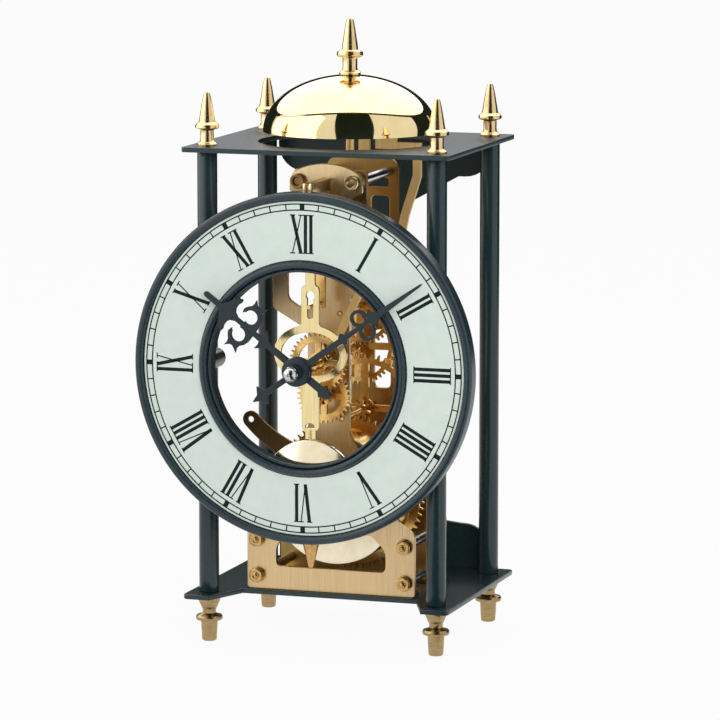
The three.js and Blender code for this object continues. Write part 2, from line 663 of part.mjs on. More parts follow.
const dialFace = () => turnedY([
  [DIAL_FACE_INNER, DIAL_FACE_Y], [DIAL_FACE_OUTER, DIAL_FACE_Y],
  [DIAL_FACE_OUTER, DIAL_FACE_Y + DIAL_FACE_SHEET],
  [DIAL_FACE_INNER, DIAL_FACE_Y + DIAL_FACE_SHEET], [DIAL_FACE_INNER, DIAL_FACE_Y]], 48, centreAt);

// A stud from the dial's back to the side of a front pillar, saddled to the pillar.
function dialStud(side) {
  const end = -PILLAR_DEPTH / 2 - PILLAR_RADIUS + DIAL_STUD_WRAP;
  const stud = rodY(DIAL_STUD_RADIUS, DIAL_BACK + SEAT, end, { x: side * DIAL_STUD_X, z: centreAt.z }, 16);
  const saddle = PILLAR_RADIUS + RUNNING;
  const low = centreAt.z - 2 * DIAL_STUD_RADIUS;
  const high = centreAt.z + 2 * DIAL_STUD_RADIUS;
  const groove = turnedZ([[0, low], [saddle, low], [saddle, high], [0, high]], 24,
    (side * PILLAR_SPREAD) / 2, -PILLAR_DEPTH / 2);
  return cut(stud, [groove]);
}

addNode('dial_body', dialBody(), 'lacquer');
addNode('dial_face', dialFace(), 'silvered');
addNode('dial_stud_left', dialStud(-1), 'lacquer');
addNode('dial_stud_right', dialStud(1), 'lacquer');

// Movement plates
const pillarPlaces = [
  { name: 'low_left', x: -PLATE_PILLAR_X, z: BASE_TOP + PLATE_PILLAR_LOW },
  { name: 'low_right', x: PLATE_PILLAR_X, z: BASE_TOP + PLATE_PILLAR_LOW },
  { name: 'high_left', x: -PLATE_PILLAR_X, z: BASE_TOP + PLATE_PILLAR_HIGH },
  { name: 'high_right', x: PLATE_PILLAR_X, z: BASE_TOP + PLATE_PILLAR_HIGH },
];
const headPillars = [
  { name: 'left', x: -HEAD_PILLAR_X, z: HEAD_PILLAR_Z },
  { name: 'right', x: HEAD_PILLAR_X, z: HEAD_PILLAR_Z },
];
const trainPlaces = [secondAt, thirdAt, fourthAt, escapeAt];

function plateHoles() {
  const tenons = [...pillarPlaces, ...headPillars].map((at) => hole(at, TENON_RADIUS + RUNNING, 10));
  const pivots = trainPlaces.map((at) => hole(at, PIVOT_RADIUS + RUNNING, 10));
  return [...tenons, ...pivots, hole(barrelAt, BARREL_ARBOR_RADIUS + RUNNING, 16),
    hole(palletAt, ARBOR_RADIUS + RUNNING, 10), hole(centreAt, ARBOR_RADIUS + RUNNING, 10),
    hole(hammerAt, ARBOR_RADIUS + RUNNING, 10)];
}

// The wide lower window in which the barrel shows.
function lowerWindow() {
  const sill = BASE_TOP + WINDOW_SILL;
  const slant = WINDOW_HEIGHT - WINDOW_SIDE;
  return outline(mirrored([
    [WINDOW_HALF_WIDTH - 1, sill], [WINDOW_HALF_WIDTH, sill + 1], [WINDOW_HALF_WIDTH, sill + WINDOW_SIDE],
    [WINDOW_HALF_WIDTH - slant, sill + WINDOW_HEIGHT]]));
}

const blockTop = BASE_TOP + LOWER_BLOCK_HEIGHT;
const blockSide = (side) => [
  [side * LOWER_HALF_WIDTH, FOOT_Z], [side * LOWER_HALF_WIDTH, blockTop],
  [side * (LOWER_HALF_WIDTH - LOWER_CHAMFER), blockTop + LOWER_CHAMFER * 0.7]];
const earSide = (root) => [
  [root, hammerAt.z - EAR_HEIGHT], [HAMMER_X + EAR_HEIGHT / 2, hammerAt.z - EAR_HEIGHT / 2],
  [HAMMER_X + EAR_HEIGHT / 2, hammerAt.z + EAR_HEIGHT / 2]];
const footTab = (side, yNear, yFar) => {
  const outer = side * (LOWER_HALF_WIDTH - SHEET);
  const inner = outer - side * FOOT_TAB_WIDTH;
  return box(Math.min(outer, inner), Math.max(outer, inner), yNear, yFar, FOOT_Z,
    FOOT_Z + MOVEMENT_SHEET);
};

function frontPlate() {
  const waistLow = barrelAt.z + LEVER_RISE + 3 * LEVER_HALF_WIDTH;
  const armLow = thirdAt.z + ARBOR_RADIUS;
  const armTop = armLow + ARM_LENGTH;
  const headTop = palletAt.z + FRONT_HEAD;
  const right = [...blockSide(1), [WAIST_RIGHT, waistLow], ...earSide(WAIST_RIGHT), [HEAD_HALF_WIDTH,
    armTop],
    [HEAD_HALF_WIDTH, headTop]];
  const armRoot = armLow - (ARM_LEFT - WAIST_LEFT) * ARM_SLOPE;
  const left = [...blockSide(-1), [-WAIST_LEFT, waistLow], [-WAIST_LEFT, armRoot], [-ARM_LEFT, armLow],
    [-ARM_LEFT, armTop - (ARM_LEFT - HEAD_HALF_WIDTH)], [-HEAD_HALF_WIDTH, armTop],
    [-HEAD_HALF_WIDTH, headTop]];
  const shape = outline([...right, ...left.reverse()]);
  const windowLeft = -ARM_LEFT + ARM_STRIP;
  const armWindow = outline([
    [windowLeft, armLow + 4], [windowLeft + 5, armLow + 0.8], [-5, armLow + 0.8], [-5, armTop - 14],
    [windowLeft, armTop - 14]]);
  shape.holes.push(...plateHoles(), lowerWindow(), armWindow);
  const minutePost = rodY(ARBOR_RADIUS, HOUR_WHEEL_Y - PINION_LENGTH, FRONT_PLATE_Y + SHEET / 2,
    motionAt);
  const leverFront = FRONT_PLATE_Y - 2 * END_SHAKE - LEVER_SHEET;
  const leverPost = rodY(ARBOR_RADIUS, leverFront - END_SHAKE, FRONT_PLATE_Y + SHEET / 2, leverAt);
  const leverHead = rodY(2 * ARBOR_RADIUS, leverFront - END_SHAKE - 1, leverFront - END_SHAKE, leverAt);
  return joined([frontSlab(shape, FRONT_PLATE_Y, FRONT_BACK), minutePost, leverPost, leverHead,
    footTab(-1, FRONT_PLATE_Y, FRONT_BACK + FOOT_TAB_DEPTH), footTab(1, FRONT_PLATE_Y,
      FRONT_BACK + FOOT_TAB_DEPTH)]);
}

// The click turns on a post behind the back plate, above and left of the ratchet wheel.
const CLICK_FACE = BACK_PLATE_Y + END_SHAKE + WHEEL_SHEET / 2;
const CLICK_TURN = THREE.MathUtils.degToRad(128);
const clickNose = RATCHET_RADIUS + CLICK_WIDTH / 2 + SWING_GAP;
const clickTip = {
  x: barrelAt.x + clickNose * Math.cos(CLICK_TURN),
  z: barrelAt.z + clickNose * Math.sin(CLICK_TURN),
};
const clickAt = {
  x: clickTip.x - CLICK_LENGTH * Math.sin(CLICK_TURN) * 0.9,
  z: clickTip.z + CLICK_LENGTH * Math.cos(CLICK_TURN) * 0.9 + CLICK_LENGTH * 0.45,
};

function backPlate() {
  const waistLow = barrelAt.z + BARREL_RADIUS;
  const headTop = palletAt.z + BACK_HEAD;
  const right = [...blockSide(1), [HEAD_HALF_WIDTH, waistLow], ...earSide(HEAD_HALF_WIDTH),
    [HEAD_HALF_WIDTH, hammerAt.z + 1.5 * EAR_HEIGHT],
    ...arcPoints(HEAD_HALF_WIDTH - 4, headTop - 4, 4, 4, 0, 90, 3)];
  const left = [...blockSide(-1), [-HEAD_HALF_WIDTH, waistLow],
    ...arcPoints(-HEAD_HALF_WIDTH + 4, headTop - 4, 4, 4, 180, 90, 3)];
  const shape = outline([...right, ...left.reverse()]);
  const lightening = (x0, x1, z0, z1) => outline([[x0, z0], [x1, z0], [x1, z1], [x0, z1]]);
  shape.holes.push(...plateHoles(), lowerWindow(),
    lightening(-11.5, -5, barrelAt.z + 30, fourthAt.z - 8), lightening(5, 12, centreAt.z - 18,
      centreAt.z + 6),
    lightening(3.5, 11.5, escapeAt.z - 7, palletAt.z - 2), lightening(-11.5, -3.5, escapeAt.z - 6,
      palletAt.z - 2));
  const clickPost = rodY(ARBOR_RADIUS, BACK_PLATE_Y - SHEET / 2, CLICK_FACE + WHEEL_SHEET, clickAt);
  return joined([frontSlab(shape, BACK_FRONT, BACK_PLATE_Y), clickPost,
    footTab(-1, BACK_FRONT - FOOT_TAB_DEPTH, BACK_PLATE_Y), footTab(1, BACK_FRONT - FOOT_TAB_DEPTH,
      BACK_PLATE_Y)]);
}

function platePillar(at, frontEnd) {
  const front = FRONT_BACK + SEAT;
  const back = BACK_FRONT - SEAT;
  return turnedY([
    [0, frontEnd], [TENON_RADIUS, frontEnd], [TENON_RADIUS, front], [PLATE_PILLAR_RADIUS, front],
    [PLATE_PILLAR_RADIUS, back], [TENON_RADIUS, back], [TENON_RADIUS, BACK_PLATE_Y],
    [0, BACK_PLATE_Y]], 12, at);
}

function plateNut(at) {
  const shape = outline(ringPoints(at.x, at.z, NUT_RADIUS, 6, Math.PI / 6));
  shape.holes.push(hole(at, TENON_RADIUS + RUNNING, 10));
  return frontSlab(shape, FRONT_PLATE_Y - SEAT - NUT_HEIGHT, FRONT_PLATE_Y - SEAT);
}

addNode('front_plate', frontPlate(), 'brushed');
addNode('back_plate', backPlate(), 'brushed');
for (const place of pillarPlaces) {
  addNode(`plate_pillar_${place.name}`, platePillar(place, FRONT_PLATE_Y - NUT_HEIGHT), 'steel');
  addNode(`plate_nut_${place.name}`, plateNut(place), 'brushed');
}

// Suspension cock in front of the front plate, on the ends of the two upper pillars
const LUG_LOW = palletAt.z + 2.2;

function suspensionCock() {
  const back = COCK_Y + COCK_SHEET;
  const low = palletAt.z - 3;
  const top = arcPoints(0, HEAD_PILLAR_Z, HEAD_HALF_WIDTH, FRONT_HEAD - HEAD_PILLAR_RISE + 2.9, 0, 180,
    10);
  const plate = outline([[-HEAD_HALF_WIDTH, HEAD_PILLAR_Z - 4], [-6, low], [6, low],
    [HEAD_HALF_WIDTH, HEAD_PILLAR_Z - 4],
    ...top]);
  plate.holes.push(hole(palletAt, ARBOR_RADIUS + RUNNING, 10));
  plate.holes.push(...headPillars.map((at) => hole(at, TENON_RADIUS + RUNNING, 10)));
  const bosses = headPillars.map((at) => tubeY(TENON_RADIUS + RUNNING, NUT_RADIUS, back - SEAT,
    FRONT_PLATE_Y - SEAT, at));
  const lug = box(-LUG_HALF_WIDTH, LUG_HALF_WIDTH, PENDULUM_Y - LUG_FRONT, COCK_Y + SEAT, LUG_LOW,
    LUG_LOW + LUG_HEIGHT);
  return joined([frontSlab(plate, COCK_Y, back), ...bosses, lug]);
}

function cockScrew(at) {
  const seat = COCK_Y - SEAT;
  const head = seat - COCK_SCREW_HEIGHT;
  const shank = FRONT_PLATE_Y - END_SHAKE;
  return turnedY([
    [0, head + COCK_SCREW_HEIGHT / 2], [COCK_SCREW_HOLLOW, head + COCK_SCREW_HEIGHT / 2],
    [COCK_SCREW_HOLLOW, head], [COCK_SCREW_RADIUS * 0.85, head],
    [COCK_SCREW_RADIUS, head + COCK_SCREW_HEIGHT / 3],
    [COCK_SCREW_RADIUS, seat], [TENON_RADIUS, seat], [TENON_RADIUS, shank], [0, shank]], 14, at);
}

addNode('suspension_cock', suspensionCock(), 'brushed');
for (const place of headPillars) {
  addNode(`head_pillar_${place.name}`, platePillar(place, FRONT_PLATE_Y), 'steel');
  addNode(`cock_screw_${place.name}`, cockScrew(place), 'brushed');
}

// Barrel with the great wheel, its cap, the mainspring's coil pack and the winding arbor
const greatPhase = 0;
const barrelBore = BARREL_ARBOR_RADIUS + RUNNING;
const drumBack = GREAT_WHEEL_Y - WHEEL_SHEET / 2;
const drumFront = drumBack - BARREL_DEPTH;

function barrel() {
  const wheel = wheelSlab(barrelAt, GREAT_TEETH, GREAT_MODULE, greatPhase, GREAT_WHEEL_Y, [], barrelBore);
  const wall = BARREL_RADIUS - BARREL_WALL;
  const drum = turnedY([
    [wall, drumFront], [BARREL_RADIUS, drumFront], [BARREL_RADIUS, drumBack + SEAT],
    [wall, drumBack + SEAT],
    [wall, drumFront]], 36, barrelAt);
  return joined([wheel, drum]);
}

const barrelCap = () => tubeY(barrelBore, BARREL_RADIUS, drumFront - SEAT - BARREL_WALL,
  drumFront - SEAT, barrelAt, 36);
const mainspring = () => tubeY(MAINSPRING_INNER, BARREL_RADIUS - BARREL_WALL - RUNNING,
  drumFront + END_SHAKE,
  drumBack - END_SHAKE, barrelAt, 36);

function barrelArbor() {
  const squareStart = BACK_PLATE_Y + WINDING_REACH / 2;
  const end = BACK_PLATE_Y + WINDING_REACH;
  const core = turnedY([
    [0, FRONT_PLATE_Y - 1], [BARREL_ARBOR_RADIUS, FRONT_PLATE_Y - 1],
    [BARREL_ARBOR_RADIUS, drumFront + END_SHAKE],
    [BARREL_HUB_RADIUS, drumFront + END_SHAKE], [BARREL_HUB_RADIUS, drumBack - END_SHAKE],
    [BARREL_ARBOR_RADIUS, drumBack - END_SHAKE], [BARREL_ARBOR_RADIUS, squareStart],
    [0, squareStart]], 16, barrelAt);
  const half = WINDING_SQUARE / 2;
  return joined([core, box(-half, half, squareStart - 1, end, barrelAt.z - half, barrelAt.z + half)]);
}

function ratchetWheel() {
  const pitch = 360 / RATCHET_TEETH;
  const points = Array.from({ length: RATCHET_TEETH }, (_, i) => [
    ...arcPoints(barrelAt.x, barrelAt.z, RATCHET_RADIUS, RATCHET_RADIUS, i * pitch, i * pitch,
      1).slice(1),
    ...arcPoints(barrelAt.x, barrelAt.z, RATCHET_RADIUS - RATCHET_STEP, RATCHET_RADIUS - RATCHET_STEP,
      (i + 0.15) * pitch, (i + 0.15) * pitch, 1).slice(1),
  ]).flat();
  const shape = outline(points);
  shape.holes.push(hole(barrelAt, BARREL_ARBOR_RADIUS + SEAT, 16));
  return frontSlab(shape, CLICK_FACE - WHEEL_SHEET / 2, CLICK_FACE + WHEEL_SHEET / 2);
}

function click() {
  const shape = strip([[clickAt.x, clickAt.z], [clickTip.x, clickTip.z]], CLICK_WIDTH);
  const eye = frontSlab(outline(ringPoints(clickAt.x, clickAt.z, 3, 12)), CLICK_FACE - WHEEL_SHEET / 2,
    CLICK_FACE + WHEEL_SHEET / 2);
  const arm = frontSlab(shape, CLICK_FACE - WHEEL_SHEET / 2, CLICK_FACE + WHEEL_SHEET / 2);
  return cut(joined([eye, arm]), [drillY(ARBOR_RADIUS + RUNNING, CLICK_FACE - SHEET,
    CLICK_FACE + SHEET, clickAt)]);
}

addNode('barrel', barrel(), 'polished');
addNode('barrel_cap', barrelCap(), 'polished');
addNode('mainspring', mainspring(), 'steel');
addNode('barrel_arbor', barrelArbor(), 'steel');
addNode('ratchet_wheel', ratchetWheel(), 'brushed');
addNode('click', click(), 'steel');

// Going train: each wheel with its pinion on one arbor
function trainWheel(at, pinionPhase, pinionModule, pinionY, wheel) {
  return joined([arborBetweenPlates(at), pinionSlab(at, LEAVES, pinionModule, pinionPhase, pinionY),
    wheel]);
}

const secondPhase = meshPhase(barrelAt, GREAT_TEETH, greatPhase, secondAt, LEAVES);
const centrePhase = meshPhase(secondAt, TRAIN_TEETH, 0, centreAt, LEAVES);
const thirdPhase = meshPhase(centreAt, TRAIN_TEETH, 0, thirdAt, LEAVES);
const fourthPhase = meshPhase(thirdAt, TRAIN_TEETH, 0, fourthAt, LEAVES);
const escapePhase = meshPhase(fourthAt, FOURTH_TEETH, 0, escapeAt, LEAVES);

function spokedWheel(at, teeth, module, y) {
  const rim = (teeth * module) / 2 - (DEDENDUM + 2.4) * module;
  return wheelSlab(at, teeth, module, 0, y, crossings(at, 3.2 * ARBOR_RADIUS, rim, 4,
    2.4 * ARBOR_RADIUS));
}

// The centre arbor carries the hands' shaft on in front of its plate.
function centreArbor() {
  const front = FRONT_BACK + END_SHAKE;
  const back = BACK_FRONT - END_SHAKE;
  const end = NUT_Y - HAND_NUT_LENGTH / 3;
  return turnedY([
    [0, end], [SHAFT_RADIUS, end], [SHAFT_RADIUS, front], [CENTRE_ARBOR_RADIUS, front],
    [CENTRE_ARBOR_RADIUS, back], [PIVOT_RADIUS, back], [PIVOT_RADIUS, BACK_PLATE_Y], [0, BACK_PLATE_Y]],
  12, centreAt);
}

function escapeWheel() {
  const pitch = 360 / ESCAPE_TEETH;
  const root = ESCAPE_RADIUS - 1.8;
  const points = Array.from({ length: ESCAPE_TEETH }, (_, i) => [[ESCAPE_RADIUS, 0], [root, 0.3],
    [root, 0.75]]
    .map(([radius, turn]) => arcPoints(escapeAt.x, escapeAt.z, radius, radius, (i + turn) * pitch, 0,
      1)[0])).flat();
  const shape = outline(points);
  shape.holes.push(...crossings(escapeAt, 2.6 * ARBOR_RADIUS, root - 1.2, 4, ARBOR_RADIUS));
  return frontSlab(shape, ESCAPE_WHEEL_Y - WHEEL_SHEET / 2, ESCAPE_WHEEL_Y + WHEEL_SHEET / 2);
}

addNode('second_wheel', trainWheel(secondAt, secondPhase, GREAT_MODULE, GREAT_WHEEL_Y,
  spokedWheel(secondAt, TRAIN_TEETH, SECOND_MODULE, SECOND_WHEEL_Y)), 'polished');
addNode('centre_wheel', joined([centreArbor(), pinionSlab(centreAt, LEAVES, SECOND_MODULE, centrePhase,
  SECOND_WHEEL_Y),
  spokedWheel(centreAt, TRAIN_TEETH, CENTRE_MODULE, CENTRE_WHEEL_Y)]), 'polished');
addNode('third_wheel', trainWheel(thirdAt, thirdPhase, CENTRE_MODULE, CENTRE_WHEEL_Y,
  spokedWheel(thirdAt, TRAIN_TEETH, THIRD_MODULE, THIRD_WHEEL_Y)), 'polished');
addNode('fourth_wheel', trainWheel(fourthAt, fourthPhase, THIRD_MODULE, THIRD_WHEEL_Y,
  spokedWheel(fourthAt, FOURTH_TEETH, FOURTH_MODULE, FOURTH_WHEEL_Y)), 'polished');
addNode('escape_wheel', trainWheel(escapeAt, escapePhase, FOURTH_MODULE, FOURTH_WHEEL_Y,
  escapeWheel()), 'polished');

// Pallet arbor with the anchor and, in front of the cock, the crutch whose pin enters the pendulum's slot
const palletDrop = PALLET_RISE - Math.sqrt(ESCAPE_RADIUS ** 2 - PALLET_REACH ** 2);
const palletArm = Math.hypot(PALLET_REACH, palletDrop);
const palletSwing = palletArm * THREE.MathUtils.degToRad(SWING_DEGREES) + 2 * SWING_GAP;

function palletAnchor() {
  const frontEnd = CRUTCH_Y - SHEET;
  const arbor = turnedY([
    [0, frontEnd], [ARBOR_RADIUS, frontEnd], [ARBOR_RADIUS, BACK_PLATE_Y],
    [0, BACK_PLATE_Y]], 10, palletAt);
  const reach = PALLET_REACH + palletSwing;
  const anchor = outline(mirrored([
    [reach - 0.6, palletAt.z - palletDrop], [reach + 1, palletAt.z - palletDrop - 0.4],
    [reach + 1.2, palletAt.z - palletDrop + 3], [ARBOR_RADIUS + 2.4, palletAt.z + 2.6],
  ]).concat([[-reach + 1.4, palletAt.z - palletDrop + 2.4], [0, palletAt.z - 2.6],
    [reach - 1.4, palletAt.z - palletDrop + 2.4]]));
  const pallets = frontSlab(anchor, ESCAPE_WHEEL_Y - WHEEL_SHEET, ESCAPE_WHEEL_Y + WHEEL_SHEET);
  const crutchFoot = palletAt.z - CRUTCH_LENGTH;
  const crutch = frontSlab(strip([[0, palletAt.z + 1.5],
    [0, crutchFoot - 2]], 4), CRUTCH_Y - WHEEL_SHEET, CRUTCH_Y);
  const pin = rodY(CRUTCH_PIN_RADIUS, PENDULUM_Y - 2 * ROD_SHEET, CRUTCH_Y, { x: 0, z: crutchFoot }, 10);
  return joined([arbor, pallets, crutch, pin]);
}

addNode('pallet_anchor', palletAnchor(), 'brushed');

// Pendulum: suspension spring, flat rod with the loop round the hands' shaft, bob and rating nut
const rodTop = palletAt.z - SPRING_LENGTH;
const loopZ = palletAt.z - LOOP_DROP;
const flatEnd = palletAt.z - ROD_FLAT_LENGTH;
const bobZ = palletAt.z - BOB_DROP;
const ratingTop = bobZ - BOB_RADIUS - SEAT;
const rodNear = PENDULUM_Y - ROD_SHEET / 2;
const rodFar = PENDULUM_Y + ROD_SHEET / 2;

const suspensionSpring = () => box(-ROD_NECK_WIDTH / 2, ROD_NECK_WIDTH / 2, PENDULUM_Y - SPRING_SHEET / 2,
  PENDULUM_Y + SPRING_SHEET / 2, rodTop + SEAT, LUG_LOW - END_SHAKE);

function pendulumRod() {
  const half = ROD_WIDTH / 2;
  const neck = ROD_NECK_WIDTH / 2;
  const neckLow = rodTop - ROD_NECK_LENGTH;
  const upper = outline(mirrored([[half, loopZ + LOOP_HALF_HEIGHT - 1], [half, neckLow - ROD_SHOULDER],
    [neck, neckLow], [neck, rodTop]]));
  const slotMiddle = palletAt.z - CRUTCH_LENGTH;
  const slotHalf = CRUTCH_PIN_RADIUS + LOOSE;
  upper.holes.push(outline([
    ...arcPoints(0, slotMiddle + SLOT_LENGTH / 2 - slotHalf, 1.6 * slotHalf, 1.6 * slotHalf, -45, 225, 8),
    ...arcPoints(0, slotMiddle - SLOT_LENGTH / 2 + slotHalf, slotHalf, slotHalf, 180, 360, 5)]));
  const loop = outline(arcPoints(0, loopZ, LOOP_HALF_WIDTH, LOOP_HALF_HEIGHT, 0, 360, 28).slice(1));
  loop.holes.push(outline(
    arcPoints(0, loopZ, LOOP_HALF_WIDTH - LOOP_BAND, LOOP_HALF_HEIGHT - LOOP_BAND, 0, 360, 28).slice(1)));
  const stem = ROD_STEM_WIDTH / 2;
  const lower = outline(mirrored([[stem, bobZ + BOB_RADIUS + END_SHAKE], [stem, flatEnd],
    [half - 0.2, flatEnd + ROD_SHOULDER / 2], [half - 0.2, loopZ - LOOP_HALF_HEIGHT + 1]]));
  const screwEnd = ratingTop - RATING_NUT_LENGTH * 0.7;
  const screw = turnedZ([[0, screwEnd], [SCREW_RADIUS, screwEnd], [SCREW_RADIUS, flatEnd + 1],
    [0, flatEnd + 1]], 10,
    0, PENDULUM_Y);
  return joined([...[upper, loop, lower].map((shape) => frontSlab(shape, rodNear, rodFar)), screw]);
}

function pendulumBob() {
  const half = BOB_HALF_THICKNESS;
  const bulge = (share) => [BOB_RADIUS * Math.sin((share * Math.PI) / 2),
    BOB_EDGE + (half - BOB_EDGE) * Math.cos((share * Math.PI) / 2)];
  const face = [0, 0.25, 0.5, 0.75, 1].map(bulge);
  const front = face.map(([r, h]) => [r, PENDULUM_Y - h]);
  const rear = face.map(([r, h]) => [r, PENDULUM_Y + h]).reverse();
  const lens = turnedY([...front, ...rear], 36, { x: 0, z: bobZ });
  const bore = SCREW_RADIUS + RUNNING;
  const low = bobZ - BOB_RADIUS - 1;
  const high = bobZ + BOB_RADIUS + 1;
  return cut(lens, [turnedZ([[0, low], [bore, low], [bore, high], [0, high]], 10, 0, PENDULUM_Y)]);
}

function ratingNut() {
  const bore = (SCREW_RADIUS + RUNNING) / Math.cos(Math.PI / 12);
  const tip = ratingTop - RATING_NUT_LENGTH;
  const boreEnd = ratingTop - RATING_NUT_LENGTH * 0.75;
  return turnedZ([
    [0, tip], [RATING_NUT_RADIUS / 4, tip], [RATING_NUT_RADIUS, ratingTop - 1.5],
    [RATING_NUT_RADIUS, ratingTop],
    [bore, ratingTop], [bore, boreEnd], [0, boreEnd]], 12, 0, PENDULUM_Y);
}

addNode('suspension_spring', suspensionSpring(), 'steel');
addNode('pendulum_rod', pendulumRod(), 'polished');
addNode('pendulum_bob', pendulumBob(), 'polished');
addNode('rating_nut', ratingNut(), 'polished');

// Motion work: cannon pinion with the lifting cam, minute wheel with its pinion, hour wheel on its pipe
const cannonPhase = Math.PI / 2;
const minutePhase = meshPhase(centreAt, CANNON_LEAVES, cannonPhase, motionAt, MINUTE_TEETH);
const hourPhase = meshPhase(motionAt, HOUR_PINION_LEAVES, minutePhase, centreAt, HOUR_TEETH);

function cannonPinion() {
  const back = FRONT_PLATE_Y - 1;
  const bore = SHAFT_RADIUS + RUNNING;
  const pipe = tubeY(bore, CANNON_RADIUS, NUT_Y - HAND_NUT_LENGTH / 4, back, centreAt);
  const leaves = outline(gearPoints(centreAt, CANNON_LEAVES, MINUTE_MODULE, cannonPhase));
  const cam = outline([...arcPoints(centreAt.x, centreAt.z, 3, 3, -180, 90, 8), [centreAt.x - 1,
    centreAt.z + CAM_RADIUS]]);
  for (const shape of [leaves, cam]) shape.holes.push(hole(centreAt, bore));
  return joined([pipe, frontSlab(leaves, MINUTE_WHEEL_Y - PINION_LENGTH / 2,
    MINUTE_WHEEL_Y + PINION_LENGTH / 2),
    frontSlab(cam, MINUTE_WHEEL_Y + PINION_LENGTH / 2 - SEAT, back - 1)]);
}

function minuteWheel() {
  const bore = ARBOR_RADIUS + RUNNING;
  const wheel = wheelSlab(motionAt, MINUTE_TEETH, MINUTE_MODULE, minutePhase, MINUTE_WHEEL_Y,
    crossings(motionAt, 3.6, 7.6, 4, 2.4), bore);
  const pinion = outline(gearPoints(motionAt, HOUR_PINION_LEAVES, HOUR_MODULE, minutePhase));
  pinion.holes.push(hole(motionAt, bore));
  const pipe = tubeY(bore, ARBOR_RADIUS + 0.75, HOUR_WHEEL_Y - PINION_LENGTH / 2,
    FRONT_PLATE_Y - END_SHAKE, motionAt);
  return joined([wheel, frontSlab(pinion, HOUR_WHEEL_Y - PINION_LENGTH / 2,
    HOUR_WHEEL_Y + PINION_LENGTH / 2), pipe]);
}

function hourWheel() {
  const bore = CANNON_RADIUS + RUNNING;
  const wheel = wheelSlab(centreAt, HOUR_TEETH, HOUR_MODULE, hourPhase, HOUR_WHEEL_Y,
    crossings(centreAt, 4.2, 8.4, 4, 2.6), bore);
  const pipe = tubeY(bore, HOUR_PIPE_RADIUS, HOUR_HAND_Y - HAND_SHEET, HOUR_WHEEL_Y + WHEEL_SHEET,
    centreAt);
  return joined([wheel, pipe]);
}

addNode('cannon_pinion', cannonPinion(), 'brushed');
addNode('minute_wheel', minuteWheel(), 'polished');
addNode('hour_wheel', hourWheel(), 'polished');

// Hands, drawn upright along +z from their hub and then turned to the time
function scroll(side, place, radius, band) {
  const x = side * (radius + band / 2);
  const angles = side > 0 ? [-165, 125] : [-15, -305];
  const outer = arcPoints(x, place, radius + band / 2, radius + band / 2, ...angles, 12);
  const inner = arcPoints(x, place, radius - band / 2, radius - band / 2, ...angles.reverse(), 12);
  return outline([...outer, ...inner]);
}

function handSolid(shapes, yNear, bore, degrees) {
  const slabs = shapes.map((shape) => frontSlab(shape, yNear, yNear + HAND_SHEET));
  const drilled = cut(joined(slabs), [drillY(bore, yNear - 1, yNear + HAND_SHEET + 1, { x: 0, z: 0 })]);
  return drilled.rotateY(THREE.MathUtils.degToRad(degrees)).translate(0, 0, centreAt.z);
}

const hub = () => outline(ringPoints(0, 0, HUB_RADIUS, 20));

function hourHand() {
  const place = HOUR_SCROLL_PLACE;
  const stem = outline(mirrored([[1.5, 0], [1.2, 16], [1, place - 4], [0.95, place + 5],
    [1.3, place + 9], [1.1, HOUR_LENGTH - 1],
    [0.5, HOUR_LENGTH]]));
  const tail = outline(mirrored([[1.4, 0], [1.5, -HOUR_TAIL + 6], [3, -HOUR_TAIL + 4.2],
    [1.7, -HOUR_TAIL + 2.5],
    [1, -HOUR_TAIL]].reverse()));
  const barbs = outline(mirrored([[1, 15.5], [2.6, 17.5], [4.6, 19.6], [1, 18.9]]));
  const crown = outline(mirrored([[0.9, place + 5.4], [3.6, place + 7.3], [7.4, place + 6.4],
    [4.8, place + 8.7], [0.9, place + 10.6]]));
  const thorns = [-1, 1].map((side) => outline([[7.3, -2.6], [10.9, -3.6], [9.4, -0.8], [11, 1.6],
    [7, 2.4]]
    .map(([x, z]) => [side * x, place + z])));
  const scrolls = [-1, 1].map((side) => scroll(side, place, HOUR_SCROLL_RADIUS, HOUR_SCROLL_BAND));
  return handSolid([hub(), stem, tail, barbs, crown, ...thorns, ...scrolls], HOUR_HAND_Y - HAND_SHEET,
    HOUR_PIPE_RADIUS + SEAT, HOUR_ANGLE);
}

function minuteHand() {
  const place = MINUTE_SCROLL_PLACE;
  const stem = outline(mirrored([[1.3, 0], [1.15, 20], [0.9, place - 3], [0.9, place + 4],
    [1.3, place + 10],
    [0.5, MINUTE_LENGTH - 1], [0.2, MINUTE_LENGTH]]));
  const tail = outline(mirrored([[1.2, 0], [1.1, -MINUTE_TAIL + 6.5], [4.3, -MINUTE_TAIL + 4.6],
    [1.4, -MINUTE_TAIL + 3.2],
    [0.3, -MINUTE_TAIL]].reverse()));
  const leaf = outline(mirrored([[0.8, 22], [2.6, 24], [0.8, 25.2]]));
  const barbs = outline(mirrored([[0.8, place + 4], [3.8, place + 4.7], [0.8, place + 6.6]]));
  const scrolls = [-1, 1].map((side) => scroll(side, place, MINUTE_SCROLL_RADIUS, MINUTE_SCROLL_BAND));
  return handSolid([hub(), stem, tail, leaf, barbs, ...scrolls], MINUTE_HAND_Y - HAND_SHEET,
    CANNON_RADIUS + SEAT, MINUTE_ANGLE);
}

function handNut() {
  const bore = (CANNON_RADIUS + SEAT) / Math.cos(Math.PI / 16);
  const front = NUT_Y - HAND_NUT_LENGTH;
  const boreEnd = NUT_Y - HAND_NUT_LENGTH / 2;
  return turnedY([
    [0, front], [HAND_NUT_RADIUS * 0.6, front + 0.4], [HAND_NUT_RADIUS, front + 2],
    [HAND_NUT_RADIUS, front + 4],
    [HAND_NUT_RADIUS * 0.85, NUT_Y], [bore, NUT_Y], [bore, boreEnd], [0, boreEnd]], 16, centreAt);
}

addNode('hour_hand', hourHand(), 'japanned');
addNode('minute_hand', minuteHand(), 'japanned');
addNode('hand_nut', handNut(), 'steel');

